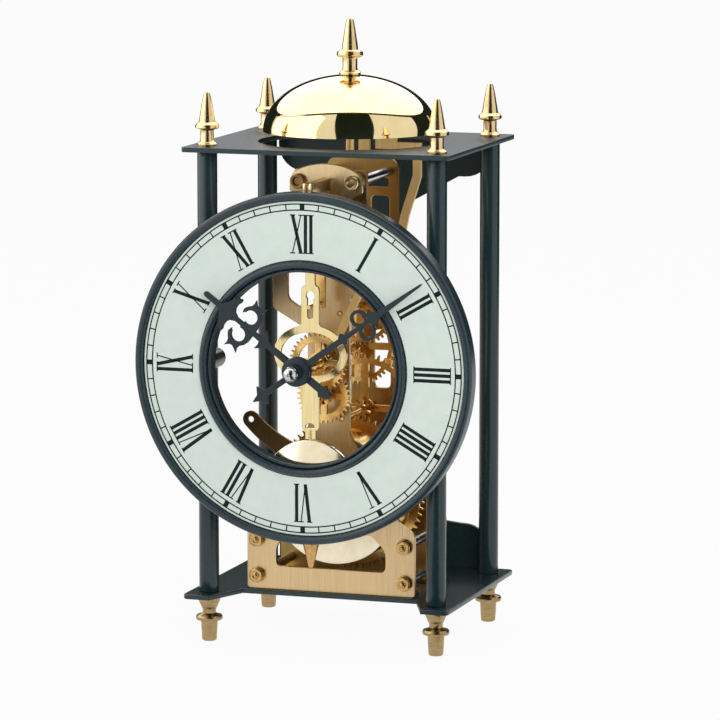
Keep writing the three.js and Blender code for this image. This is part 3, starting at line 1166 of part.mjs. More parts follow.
// Hammer: an arbor with an arm up through the top plate's hole, bent aside under the bell's rim and up to the
// head inside the bell, and a tail down to the cam
function hammer() {
  const headZ = RIM_Z + HAMMER_HEAD_RADIUS + 1;
  const barTop = RIM_Z - HAMMER_BAR_DROP;
  const barLow = barTop - HAMMER_BAR_HEIGHT;
  const barEnd = HAMMER_ARM_X + HAMMER_WIDTH / 2;
  const riserRight = HAMMER_RISER_X + HAMMER_RISER_WIDTH;
  const sheet = (shape) => frontSlab(shape, HAMMER_Y, HAMMER_Y + HAMMER_SHEET);
  const arm = sheet(strip([[hammerAt.x, hammerAt.z - 2],
    [hammerAt.x + HAMMER_KNEE_X, hammerAt.z + HAMMER_KNEE_RISE],
    [HAMMER_ARM_X, hammerAt.z + HAMMER_ARM_RISE], [HAMMER_ARM_X, barLow + 1]], HAMMER_WIDTH));
  const riser = sheet(outline([[HAMMER_RISER_X, barLow], [barEnd, barLow], [barEnd, barTop],
    [riserRight, barTop], [riserRight, headZ], [HAMMER_RISER_X, headZ]]));
  const head = lathe([[0, 0], [HAMMER_HEAD_RADIUS, 0], [HAMMER_HEAD_RADIUS, HAMMER_HEAD_LENGTH],
    [0, HAMMER_HEAD_LENGTH]], 14)
    .rotateZ(-Math.PI / 2).translate(HAMMER_HEAD_X - HAMMER_HEAD_LENGTH, HAMMER_Y + HAMMER_SHEET / 2,
      headZ);
  const tailY = FRONT_PLATE_Y - SHEET;
  const aim = Math.atan2(hammerAt.z - centreAt.z, hammerAt.x - centreAt.x);
  const tailEnd = [centreAt.x + TAIL_REACH * Math.cos(aim), centreAt.z + TAIL_REACH * Math.sin(aim)];
  const tail = frontSlab(strip([[hammerAt.x, hammerAt.z], tailEnd], 3), tailY - WHEEL_SHEET, tailY);
  const arbor = rodY(ARBOR_RADIUS, tailY - WHEEL_SHEET, BACK_PLATE_Y, hammerAt, 10);
  return joined([arbor, arm, riser, head, tail]);
}

// Strike lever on its post at the front plate's left edge, bowed downwards
function strikeLever() {
  const turn = THREE.MathUtils.degToRad(LEVER_ANGLE);
  const spine = [0, 0.25, 0.5, 0.75, 1].map((share) => {
    const reach = LEVER_LENGTH * share;
    const bow = 4 * LEVER_BOW * share * (1 - share);
    return { x: leverAt.x + reach * Math.cos(turn) - bow * Math.sin(turn),
      z: leverAt.z + reach * Math.sin(turn) + bow * Math.cos(turn) };
  });
  const end = spine.at(-1);
  const far = FRONT_PLATE_Y - END_SHAKE;
  const near = far - LEVER_SHEET;
  const round = (at) => frontSlab(outline(ringPoints(at.x, at.z, LEVER_HALF_WIDTH, 16)), near, far);
  const bar = frontSlab(strip(spine.map(({ x, z }) => [x, z]), 2 * LEVER_HALF_WIDTH), near, far);
  const bore = drillY(ARBOR_RADIUS + RUNNING, near - 1, far + 1, leverAt);
  const eye = drillY(LEVER_HOLE_RADIUS, near - 1, far + 1, end);
  return cut(joined([bar, round(leverAt), round(end)]), [bore, eye]);
}

addNode('hammer', hammer(), 'brushed');
addNode('strike_lever', strikeLever(), 'brushed');

export default clock;
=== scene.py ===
"""A skeleton table clock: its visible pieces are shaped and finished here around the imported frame.

Sizes are in millimetres of the clock's own frame, in which y is 0 at the middle of the two black plates,
x runs to the right and z up. Pieces are moved into the shared frame, in metres, when they are made.
"""
import logging
import math
from collections.abc import Iterable, Sequence
from dataclasses import dataclass, field
from enum import Enum
from typing import Any

import bmesh
import bpy
from mathutils import Matrix, Vector


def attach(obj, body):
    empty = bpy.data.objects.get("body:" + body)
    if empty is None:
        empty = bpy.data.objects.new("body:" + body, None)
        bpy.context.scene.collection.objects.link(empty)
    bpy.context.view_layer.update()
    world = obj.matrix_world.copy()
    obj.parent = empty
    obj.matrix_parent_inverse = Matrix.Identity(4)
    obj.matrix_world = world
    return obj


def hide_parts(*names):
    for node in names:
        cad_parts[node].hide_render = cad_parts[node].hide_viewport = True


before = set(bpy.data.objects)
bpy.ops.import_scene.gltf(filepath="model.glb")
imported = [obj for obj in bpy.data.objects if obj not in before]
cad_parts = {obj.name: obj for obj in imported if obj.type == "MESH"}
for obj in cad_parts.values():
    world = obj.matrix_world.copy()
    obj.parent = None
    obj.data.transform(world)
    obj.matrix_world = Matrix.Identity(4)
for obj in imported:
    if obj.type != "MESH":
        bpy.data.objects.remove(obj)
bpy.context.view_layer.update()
LOG = logging.getLogger("clock")

MM = 0.001
DEPTH_SHIFT = 15.45
DIAL_CENTRE = (0, 0, 116.302)
FRAME = "clock_frame"
# Points nearer than this are merged, faces within this angle are made one, and corners past this are rounded.
MERGE = 0.0005
COPLANAR = math.radians(0.5)
CORNER = math.radians(34)
# How much of a face's normal lies along y where the face is a sheet's front or back.
FLAT = 0.99999
TO_SHARED_FRAME = Matrix.Translation((0.0, DEPTH_SHIFT * MM, 0.0)) @ Matrix.Scale(MM, 4)

Point = tuple[float, float]
Place = tuple[float, float, float]
Span = tuple[float, float, float, float]


class Slot(Enum):
    """The record's material slots."""

    LACQUER = "black_lacquer"
    POLISHED = "polished_brass"
    BRUSHED = "brushed_brass"
    STEEL = "bright_steel"
    SILVERED = "silvered_dial"
    HANDS = "black_hands"


class View(Enum):
    """The plane in which a flat outline is drawn, and so the way in which it is thick."""

    FRONT = "x to the right, z up, thick along y"
    PLAN = "x to the right, y to the back, thick along z"


class Axis(Enum):
    """The axis round which a turned piece is turned."""

    Y = "y"
    Z = "z"


class LampUse(Enum):
    """What a lamp is for."""

    LIGHTING = "lights the clock and stays out of reflections"
    MIRRORED = "shows in polished metal and lights nothing else"


# Outlines

def arc(centre: Point, radii: Point, start: float, end: float, steps: int) -> list[Point]:
    """Points along part of an ellipse.

    Args:
        centre: Middle of the ellipse.
        radii: Half its width and half its height.
        start: First angle in degrees, anticlockwise from the right.
        end: Last angle in degrees.
        steps: How many chords the arc has.

    Returns:
        The points, both ends included.
    """
    angles = [math.radians(start + (end - start) * i / steps) for i in range(steps + 1)]
    return [(centre[0] + radii[0] * math.cos(a), centre[1] + radii[1] * math.sin(a)) for a in angles]


def circle(centre: Point, radius: float, steps: int = 32) -> list[Point]:
    """A full circle of points, the first one not repeated."""
    return arc(centre, (radius, radius), 0, 360, steps)[:-1]


def box(left: float, right: float, low: float, high: float) -> list[Point]:
    """A rectangle's corners, which are also the profile of a plain rod or ring."""
    return [(left, low), (right, low), (right, high), (left, high)]


def flipped(points: Sequence[Point]) -> list[Point]:
    """An outline's mirror image across the upright middle line."""
    return [(-x, z) for x, z in reversed(points)]


def mirrored(half: Sequence[Point]) -> list[Point]:
    """A half outline on the right, closed by its mirror image on the left."""
    return [*half, *[(x, z) for x, z in flipped(half) if abs(x) > 1e-6]]


def strip(path: Sequence[Point], widths: Sequence[float]) -> list[Point]:
    """A closed outline along a path.

    Args:
        path: The middle line.
        widths: The strip's width at each point of the path.

    Returns:
        The outline, up one side and back down the other.
    """
    left: list[Point] = []
    right: list[Point] = []
    for i, (at, width) in enumerate(zip(path, widths)):
        before, after = Vector(path[max(i - 1, 0)]), Vector(path[min(i + 1, len(path) - 1)])
        along = (after - before).normalized()
        across = Vector((-along.y, along.x)) * width / 2
        left.append((at[0] + across.x, at[1] + across.y))
        right.append((at[0] - across.x, at[1] - across.y))
    return left + right[::-1]


def round_ended(path: Sequence[Point], widths: Sequence[float]) -> list[Point]:
    """A closed outline along a path, like a strip, but with half-round ends.

    Args:
        path: The middle line, from one end's centre to the other's.
        widths: The strip's width at each point of the path.

    Returns:
        The outline.
    """
    sides = strip(path, widths)
    caps: list[list[Point]] = []
    for at, towards, width in ((path[-1], path[-2], widths[-1]), (path[0], path[1], widths[0])):
        angle = math.degrees(math.atan2(at[1] - towards[1], at[0] - towards[0]))
        caps.append(arc(at, (width / 2, width / 2), angle + 80, angle - 80, 12))
    return [*sides[:len(path)], *caps[0], *sides[len(path):], *caps[1]]


def eased(points: Sequence[Point], radius: float, steps: int = 5) -> list[Point]:
    """An outline with rounded corners.

    Args:
        points: The corners.
        radius: How far from a corner its rounding starts, at most.
        steps: Chords of each rounding.

    Returns:
        The rounded outline.
    """
    made: list[Point] = []
    for i, corner in enumerate(points):
        here = Vector(corner)
        before = Vector(points[i - 1]) - here
        after = Vector(points[(i + 1) % len(points)]) - here
        reach = min(radius, before.length * 0.45, after.length * 0.45)
        start, end = here + before.normalized() * reach, here + after.normalized() * reach
        for share in (k / steps for k in range(steps + 1)):
            spot = start * (1 - share) ** 2 + here * 2 * share * (1 - share) + end * share ** 2
            made.append((spot.x, spot.y))
    return made


def on_dial(degrees: float) -> Matrix:
    """The move that turns an upright outline and sets it round the dial's centre."""
    return Matrix.Translation(DIAL_CENTRE) @ Matrix.Rotation(math.radians(degrees), 4, "Y")


# Meshes

def in_scene(name: str, data: bpy.types.ID) -> bpy.types.Object:
    """A new object of the scene that holds this mesh, lamp or camera."""
    obj = bpy.data.objects.new(name, data)
    bpy.context.scene.collection.objects.link(obj)
    return obj


def new_verts(made: dict[str, list[Any]]) -> list[bmesh.types.BMVert]:
    """The vertices among what an extrusion made."""
    return [g for g in made["geom"] if isinstance(g, bmesh.types.BMVert)]


class Shaper:
    """A mesh in millimetres of the clock's own frame that bmesh operators build up."""

    def __init__(self) -> None:
        """Starts with an empty mesh."""
        self.bm = bmesh.new()

    def _take(self, part: bmesh.types.BMesh, edge: float) -> None:
        """Closes a part, rounds its edges and joins it to the mesh.

        Args:
            part: The part, which is used up.
            edge: Radius of its rounded edges, or 0 for sharp ones.
        """
        bmesh.ops.remove_doubles(part, verts=part.verts, dist=MERGE)
        bmesh.ops.recalc_face_normals(part, faces=part.faces)
        if edge:
            sharp = [e for e in part.edges if e.is_manifold and e.calc_face_angle() > CORNER]
            bmesh.ops.bevel(part, geom=sharp, offset=edge, segments=2, profile=0.5, affect="EDGES",
                            material=-1, clamp_overlap=True)
        mesh = bpy.data.meshes.new("part")
        part.to_mesh(mesh)
        part.free()
        self.bm.from_mesh(mesh)
        bpy.data.meshes.remove(mesh)

    def slab(self, outer: Sequence[Point], near: float, far: float, view: View = View.FRONT,
             holes: Iterable[Sequence[Point]] = (), edge: float = 0.0,
             turn: Matrix | None = None) -> "Shaper":
        """Adds a sheet of even thickness, cut to an outline.

        Args:
            outer: The outline.
            near: First face's place along the thickness.
            far: Second face's place.
            view: The plane of the outline.
            holes: Outlines cut out of it.
            edge: Radius of its rounded edges.
            turn: A turn or move given to the sheet.

        Returns:
            This mesh, to add to.
        """
        part = bmesh.new()
        for loop in (outer, *holes):
            spots = [(x, near, z) if view is View.FRONT else (x, z, near) for x, z in loop]
            verts = [part.verts.new(spot) for spot in spots]
            for pair in zip(verts, verts[1:] + verts[:1]):
                part.edges.new(pair)
        bmesh.ops.remove_doubles(part, verts=part.verts, dist=MERGE)
        filled = bmesh.ops.triangle_fill(part, use_beauty=True, use_dissolve=False, edges=part.edges)
        faces = [g for g in filled["geom"] if isinstance(g, bmesh.types.BMFace)]
        grown = bmesh.ops.extrude_face_region(part, geom=faces)
        thick = (0, far - near, 0) if view is View.FRONT else (0, 0, far - near)
        bmesh.ops.translate(part, verts=new_verts(grown), vec=thick)
        bmesh.ops.dissolve_limit(part, angle_limit=COPLANAR, verts=part.verts, edges=part.edges)
        if turn:
            bmesh.ops.transform(part, matrix=turn, verts=part.verts)
        self._take(part, edge)
        return self

    def turned(self, profile: Sequence[Point], axis: Axis, at: Sequence[float] = (0, 0, 0), steps: int = 48,
               ring: bool = False, edge: float = 0.0) -> "Shaper":
        """Adds a piece turned on a lathe.

        Args:
            profile: Radius and place along the axis, from one end to the other.
            axis: The axis that it is turned round.
            at: Where the axis passes, and where the profile's 0 lies on it.
            steps: Facets round the axis.
            ring: Whether the profile closes on itself and leaves the axis open.
            edge: Radius of its rounded edges.

        Returns:
            This mesh, to add to.
        """
        part = bmesh.new()
        verts = [part.verts.new((r, 0, h)) for r, h in profile]
        pairs = list(zip(verts, verts[1:])) + ([(verts[-1], verts[0])] if ring else [])
        edges = [part.edges.new(pair) for pair in pairs]
        bmesh.ops.spin(part, geom=verts + edges, cent=(0, 0, 0), axis=(0, 0, 1), angle=2 * math.pi,
                       steps=steps, use_merge=True)
        tilt = Matrix.Rotation(-math.pi / 2, 4, "X") if axis is Axis.Y else Matrix.Identity(4)
        bmesh.ops.transform(part, matrix=Matrix.Translation(at) @ tilt, verts=part.verts)
        self._take(part, edge)
        return self

    def block(self, low: Sequence[float], high: Sequence[float], edge: float = 0.15) -> "Shaper":
        """Adds a bar with rounded edges between two corners."""
        part = bmesh.new()
        size = [b - a for a, b in zip(low, high)]
        middle = [(a + b) / 2 for a, b in zip(low, high)]
        bmesh.ops.create_cube(part, size=1, matrix=Matrix.Translation(middle) @ Matrix.Diagonal((*size, 1)))
        self._take(part, edge)
        return self

    def node(self, name: str, edge: float = 0.0) -> "Shaper":
        """Adds a copy of a CAD node, its triangles merged into faces and its edges rounded."""
        part = bmesh.new()
        part.from_mesh(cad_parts[name].data)
        bmesh.ops.transform(part, matrix=TO_SHARED_FRAME.inverted(), verts=part.verts)
        bmesh.ops.remove_doubles(part, verts=part.verts, dist=MERGE)
        bmesh.ops.dissolve_limit(part, angle_limit=COPLANAR, verts=part.verts, edges=part.edges)
        self._take(part, edge)
        return self

    def piece(self, name: str, finish: "Finish", stands_for: str = "", body: str = FRAME,
              smooth: float = 36) -> None:
        """Makes the mesh an object of the clock.

        Args:
            name: The object's name.
            finish: Its finish.
            stands_for: The CAD node that it replaces, if there is one.
            body: The CAD body that it moves with.
            smooth: Edges sharper than this many degrees stay sharp to the eye.
        """
        mesh = bpy.data.meshes.new(name)
        self.bm.transform(TO_SHARED_FRAME)
        self.bm.to_mesh(mesh)
        self.bm.free()
        mesh.set_sharp_from_angle(angle=math.radians(smooth))
        # Sheet faces stay flat, so that their rounded edges don't bend the light across the whole sheet.
        mesh.polygons.foreach_set("use_smooth", [len(p.vertices) <= 4 and abs(p.normal.y) < FLAT
                                                 for p in mesh.polygons])
        mesh.materials.append(finish.material())
        obj = in_scene(name, mesh)
        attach(obj, body)
        if stands_for:
            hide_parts(stands_for)
        LOG.info("%s: %d faces, rides on %s", name, len(mesh.polygons), body)


def dressed_copy(node: str, name: str, finish: "Finish", body: str = FRAME, edge: float = 0.0) -> None:
    """Makes a finished copy of a CAD node.

    Args:
        node: The node, which the copy replaces.
        name: The copy's name.
        finish: Its finish.
        body: The CAD body that it moves with.
        edge: Radius of its rounded edges.
    """
    Shaper().node(node, edge).piece(name, finish, node, body)


# Finishes

def linear(code: str) -> tuple[float, float, float, float]:
    """An sRGB hex colour as linear red, green, blue and alpha."""
    parts = [int(code[i:i + 2], 16) / 255 for i in (1, 3, 5)]
    red, green, blue = [c / 12.92 if c <= 0.04045 else ((c + 0.055) / 1.055) ** 2.4 for c in parts]
    return red, green, blue, 1.0


def per_metre(size: float) -> float:
    """The scale that gives a pattern a grain of this many millimetres."""
    return 1 / (size * MM)


def add_node(tree: bpy.types.NodeTree, kind: str, settings: dict[str, Any] | None = None,
             values: dict[str | int, Any] | None = None,
             links: dict[str | int, bpy.types.NodeSocket] | None = None) -> bpy.types.Node:
    """Adds a node with its settings and links.

    Args:
        tree: The node tree.
        kind: The node's type.
        settings: Properties of the node.
        values: Values of its inputs.
        links: Outputs that go into its inputs.

    Returns:
        The node.
    """
    node = tree.nodes.new(kind)
    for name, value in (settings or {}).items():
        setattr(node, name, value)
    for name, value in (values or {}).items():
        node.inputs[name].default_value = value
    for name, socket in (links or {}).items():
        tree.links.new(socket, node.inputs[name])
    return node


@dataclass(frozen=True)
class Finish:
    """A surface whose tone and gloss wander a little, with a fine relief.

    A grain of three sizes in millimetres sets the pattern: equal sizes give mottling, and one long size gives
    brush marks along that axis.
    """

    name: str
    slot: Slot
    tone: str
    other_tone: str
    metallic: float
    gloss: Point
    grain: Place
    relief: float
    shine: float = 0.5
    contrast: Point = (0.3, 0.7)

    def material(self) -> bpy.types.Material:
        """The finish as a node material, made once.

        Returns:
            The material.
        """
        found = bpy.data.materials.get(self.name)
        if found:
            return found
        made = bpy.data.materials.new(self.name)
        made.use_nodes = True
        tree = made.node_tree
        shader = tree.nodes["Principled BSDF"]
        shader.inputs["Metallic"].default_value = self.metallic
        shader.inputs["Specular IOR Level"].default_value = self.shine
        place = add_node(tree, "ShaderNodeTexCoord").outputs["Object"]
        spread = add_node(tree, "ShaderNodeMapping", values={"Scale": [per_metre(g) for g in self.grain]},
                          links={"Vector": place}).outputs["Vector"]
        pattern = add_node(tree, "ShaderNodeTexNoise", values={"Scale": 1.0, "Detail": 3.0},
                           links={"Vector": spread}).outputs["Fac"]
        share = add_node(tree, "ShaderNodeMapRange",
                         values={"From Min": self.contrast[0], "From Max": self.contrast[1]},
                         links={"Value": pattern}).outputs["Result"]
        tone = add_node(tree, "ShaderNodeMix", {"data_type": "RGBA"},
                        {6: linear(self.tone), 7: linear(self.other_tone)}, {0: share})
        gloss = add_node(tree, "ShaderNodeMapRange",
                         values={"To Min": self.gloss[0], "To Max": self.gloss[1]}, links={"Value": share})
        bump = add_node(tree, "ShaderNodeBump", values={"Strength": self.relief, "Distance": 0.02 * MM},
                        links={"Height": pattern})
        tree.links.new(tone.outputs[2], shader.inputs["Base Color"])
        tree.links.new(gloss.outputs["Result"], shader.inputs["Roughness"])
        tree.links.new(bump.outputs["Normal"], shader.inputs["Normal"])
        return made


# Lacquered sheet steel: blue-black and satin, with the faint orange peel of a sprayed coat.
LACQUER = Finish("satin black lacquered steel", Slot.LACQUER, "#15282b", "#1a2e31", 0.0, (0.2, 0.26),
                 (1.2, 1.2, 1.2), 0.06)
# Top plate: the same coat, a little duller from dusting.
TOP_LACQUER = Finish("dusted black lacquered steel", Slot.LACQUER, "#182b2e", "#1e3235", 0.0, (0.38, 0.46),
                     (1.2, 1.2, 1.2), 0.06)
# Lacquered dial ring: the same coat painted a little lighter and bluer, as painted sheen for the rounded ring's
# bright bluish highlights.
RING_LACQUER = Finish("satin slate lacquered ring", Slot.LACQUER, "#1b2c32", "#1f3138", 0.0, (0.25, 0.29),
                      (3, 3, 3), 0.015)
# The ring's inner wall: a matt dark sheet that gives back hardly any light, laid over the wall as painted
# shade.
SHADE_LINING = Finish("matt black painted shade", Slot.LACQUER, "#1a262c", "#1e2b31", 0.0, (0.6, 0.7), (0.8, 0.8, 0.8), 0.05,
                0.1)
# Polished and lacquered turned brass: soft mirror in a pale gold, with the lathe's faint unevenness.
POLISHED = Finish("polished lacquered brass", Slot.POLISHED, "#ecd0a0", "#e0c08c", 1.0, (0.17, 0.24),
                  (3, 3, 1), 0.03)
# Turned feet: the finials' brass painted a darker, duller brown gold, as painted shade.
SHADED_FOOT_BRASS = Finish("turned brass darkened as painted shade", Slot.POLISHED, "#ae966c", "#9f875e", 1.0, (0.22, 0.3), (3, 3, 1), 0.03)
# Spun and buffed bell brass: brighter than the turned fittings and nearly a mirror.
BELL_BRASS = Finish("spun bell brass", Slot.POLISHED, "#efdbaa", "#e9d29c", 1.0, (0.035, 0.06),
                    (8, 8, 8), 0.012)
# Polished strip brass of the pendulum: pale gold, with faint marks along its length.
STRIP_BRASS = Finish("polished strip brass", Slot.POLISHED, "#f3e0aa", "#ead498", 1.0, (0.14, 0.22),
                     (0.6, 0.6, 14), 0.03)
# Lathe-faced bob brass: cream coloured under its lacquer.
BOB_BRASS = Finish("faced bob brass", Slot.POLISHED, "#f6ead0", "#efdfbc", 1.0, (0.1, 0.16), (5, 5, 5), 0.015)
# Barrel cap: the same cream brass with a satin turned face, which reads evenly.
CAP_BRASS = Finish("satin cap brass", Slot.POLISHED, "#f8efd6", "#f1e3c2", 1.0, (0.3, 0.36), (4, 4, 4), 0.02)
# Brushed sheet brass: upright hair lines, a quarter of a millimetre wide and faint.
BRUSHED = Finish("brushed sheet brass", Slot.BRUSHED, "#dcc196", "#d0b180", 1.0, (0.26, 0.36),
                 (0.28, 0.28, 18), 0.07)
# Suspension cock: the same sheet painted paler than the front plate, as painted light on the lit cock.
LIT_COCK_BRASS = Finish("brushed brass painted paler as painted light", Slot.BRUSHED, "#f4dcae", "#e9cb98", 1.0, (0.26, 0.36),
                    (0.28, 0.28, 18), 0.07)
# Back plate: the same brushed sheet, painted darker and browner as painted shade, for the shaded inside of the
# movement that it faces.
SHADED_BACK_BRASS = Finish("sheet brass darkened as painted shade", Slot.BRUSHED, "#cfac6d", "#be995a", 1.0, (0.3, 0.4),
                    (0.28, 0.28, 18), 0.07)
# Milled gear brass: a warmer yellow with a fine even grain.
GEAR_BRASS = Finish("milled gear brass", Slot.POLISHED, "#f6d08a", "#ecbf72", 1.0, (0.18, 0.26),
                    (1.4, 1.4, 1.4), 0.03)
# Yellow strip brass of the bell's stand and the hammer: unpolished warm gold under a satin lacquer.
HAMMER_BRASS = Finish("drawn strip brass", Slot.BRUSHED, "#f8d896", "#efca84", 0.6, (0.42, 0.5),
                      (1.2, 1.2, 12), 0.01)
# Bronzed lever: brass under a dark brown lacquer. The same dark brown is painted shade on the left cock screw,
# the twin of the polished right one.
BRONZED_AND_SHADE = Finish("bronzed strip brass and painted shade", Slot.BRUSHED, "#a9885a", "#98794a", 1.0, (0.36, 0.46),
                 (1.2, 5, 5), 0.04)
# Turned nuts: brown gold, duller than the wheels.
NUT_BRASS = Finish("turned nut brass", Slot.POLISHED, "#d3ad72", "#bd965c", 1.0, (0.2, 0.3), (1.5, 1.5, 1.5),
                   0.04)
# Bright nickelled steel: a cool grey mirror, a little blurred.
STEEL = Finish("bright nickelled steel", Slot.STEEL, "#cfd1d2", "#bfc2c4", 1.0, (0.14, 0.22), (2, 2, 2), 0.03)
# Silvered chapter ring under a matt varnish: pale grey green, almost without gloss.
SILVERED = Finish("silvered and varnished dial", Slot.SILVERED, "#cfdbd2", "#c9d6cd", 0.0, (0.42, 0.5),
                  (5, 5, 5), 0.03)
# Printed numerals: dense black ink that hardly shines.
INK = Finish("black dial ink", Slot.HANDS, "#101c1c", "#142221", 0.0, (0.5, 0.6), (1.5, 1.5, 1.5), 0.03, 0.15)
# Stamped hands: blue-black lacquer, a little glossier than the frame.
HAND_BLACK = Finish("black lacquered hands", Slot.HANDS, "#1a262b", "#1f2c32", 0.0, (0.28, 0.36),
                    (1.2, 1.2, 1.2), 0.05, 0.35)


# Sub-assemblies

@dataclass
class Stand:
    """The black plates, the four pillars, and the brass feet and finials at their ends."""

    half_width: float = 55.8
    half_depth: float = 46.25
    corner: float = 2.0
    base_levels: Point = (18.2, 20.2)
    top_levels: Point = (199.0, 201.0)
    hole_radius: float = 37.0
    edge: float = 0.3
    gap: float = 0.05
    notch: Place = (36.7, 44.5, 19.2)
    flange_half: float = 46.0
    flange_corner: float = 11.0
    flange_sheet: float = 1.6
    base_flange: Place = (20.4, 28, 12)
    top_flange: Place = (18, 40, 10)
    pillar_radius: float = 4.0
    foot: tuple[Point, ...] = (
        (0, 0), (2.5, 0), (2.95, 0.4), (3.1, 2.5), (3.4, 7.9), (3.5, 8.6), (5.2, 8.6), (5.45, 9.0), (5.45, 9.9),
        (5.1, 10.5), (3.3, 11.0), (2.8, 11.4), (2.75, 12.9), (3.1, 13.5), (4.3, 16.2), (4.6, 17.2),
        (4.6, 18.15), (0, 18.15))
    finial: tuple[Point, ...] = (
        (0, 0), (4.0, 0), (4.0, 0.7), (3.6, 1.1), (2.95, 1.7), (2.65, 2.6), (2.7, 6.1), (3.2, 6.6), (4.4, 6.8),
        (4.75, 7.2), (4.75, 8.0), (4.4, 8.6), (3.6, 9.2), (3.25, 9.7), (2.8, 12.5), (2.15, 16.4), (1.5, 19.6),
        (1.2, 20.7), (0.8, 21.25), (0, 21.5))
    places: dict[str, Point] = field(default_factory=lambda: {
        "front_left": (-48, -36.25), "front_right": (48, -36.25),
        "rear_left": (-48, 36.25), "rear_right": (48, 36.25)})

    def _plate_outline(self, front: Sequence[Point]) -> list[Point]:
        """A plate seen from above, with rounded corners and its own front edge."""
        x, y, r = self.half_width - self.corner, self.half_depth - self.corner, self.corner
        return mirrored([*front, *arc((x, -y), (r, r), -90, 0, 6), *arc((x, y), (r, r), 0, 90, 6)])

    def _flange(self, shaper: Shaper, edge: float, way: int, shoulder: float, tongue: float,
                half_tongue: float) -> None:
        """Adds the bent rear flange with its tongue.

        Args:
            shaper: The plate's mesh.
            edge: Height of the plate's outer face.
            way: 1 for a flange that stands up, -1 for one that hangs.
            shoulder: Its reach beside the tongue.
            tongue: Its reach at the tongue.
            half_tongue: Half the tongue's width.
        """
        r = self.flange_corner
        rounding = min(half_tongue, (tongue - shoulder) * 0.7)
        half = [(self.flange_half, 0.0), *arc((self.flange_half - r, shoulder - r), (r, r), 0, 90, 8),
                (half_tongue + 22, shoulder), *arc((0, tongue - rounding), (half_tongue, rounding), 0, 90, 10)]
        outline = mirrored([(x, edge + way * drop) for x, drop in half])
        shaper.slab(outline, self.half_depth - self.flange_sheet, self.half_depth, edge=0.2)

    def plates(self) -> None:
        """Makes the notched base plate and the top plate with the bell's round hole."""
        inner, mouth, depth = self.notch
        notch = [(inner, depth - self.half_depth), (mouth, -self.half_depth)]
        base = Shaper().slab(self._plate_outline(notch), *self.base_levels, View.PLAN, edge=self.edge)
        self._flange(base, self.base_levels[0], 1, *self.base_flange)
        base.piece("lacquered_base_plate", LACQUER, "base_plate")
        top = Shaper().slab(self._plate_outline([]), *self.top_levels, View.PLAN,
                            [circle((0, 0), self.hole_radius, 96)], edge=self.edge)
        self._flange(top, self.top_levels[1], -1, *self.top_flange)
        top.piece("lacquered_top_plate", TOP_LACQUER, "top_plate")

    def posts(self) -> None:
        """Makes the pillars, feet and finials."""
        pillar = box(0, self.pillar_radius, self.base_levels[1] + self.gap, self.top_levels[0] - self.gap)
        top = self.top_levels[1] + self.gap
        for name, (x, y) in self.places.items():
            Shaper().turned(pillar, Axis.Z, (x, y, 0), 56, edge=self.edge).piece(
                f"lacquered_pillar_{name}", LACQUER, f"pillar_{name}")
            Shaper().turned(self.foot, Axis.Z, (x, y, 0)).piece(
                f"turned_foot_{name}", SHADED_FOOT_BRASS, f"foot_{name}")
            Shaper().turned(self.finial, Axis.Z, (x, y, top)).piece(
                f"turned_finial_{name}", POLISHED, f"finial_{name}")

    def build(self) -> None:
        """Makes the whole stand."""
        self.plates()
        self.posts()


@dataclass
class Bell:
    """The polished bell, its stand and the finial that holds it down."""

    radius: float = 35.1
    height: float = 22.7
    wall: float = 1.6
    rim: float = 205.0
    bore: float = 1.7
    bore_angle: float = 87
    gap: float = 0.05
    finial: tuple[Point, ...] = (
        (0, 0), (4.3, 0), (4.3, 0.8), (4.0, 1.2), (3.2, 1.7), (2.95, 2.6), (3.0, 6.4), (3.5, 6.9), (5.0, 7.1),
        (5.3, 7.6), (5.3, 8.7), (5.0, 9.3), (3.8, 9.6), (3.35, 10.0), (2.95, 13.0), (2.3, 17.2), (1.75, 20.6),
        (1.4, 21.9), (0.9, 22.55), (0, 22.8))

    def _dome(self, inset: float, start: float, end: float) -> list[Point]:
        """Half a dome's profile, from one angle to another."""
        return arc((0, self.rim), (self.radius - inset, self.height - inset), start, end, 28)

    def build(self) -> None:
        """Makes the bell, its finial and its stand."""
        top = self.rim + self.height
        profile = [*self._dome(0, 0, self.bore_angle), (self.bore, top), (self.bore, top - self.wall),
                   *self._dome(self.wall, self.bore_angle, 0)]
        Shaper().turned(profile, Axis.Z, steps=112, ring=True).piece("spun_bell", BELL_BRASS, "bell")
        Shaper().turned(self.finial, Axis.Z, (0, 0, top + self.gap), 56).piece(
            "turned_bell_finial", POLISHED, "bell_finial")
        dressed_copy("bell_stand", "brass_bell_stand", HAMMER_BRASS, edge=0.12)


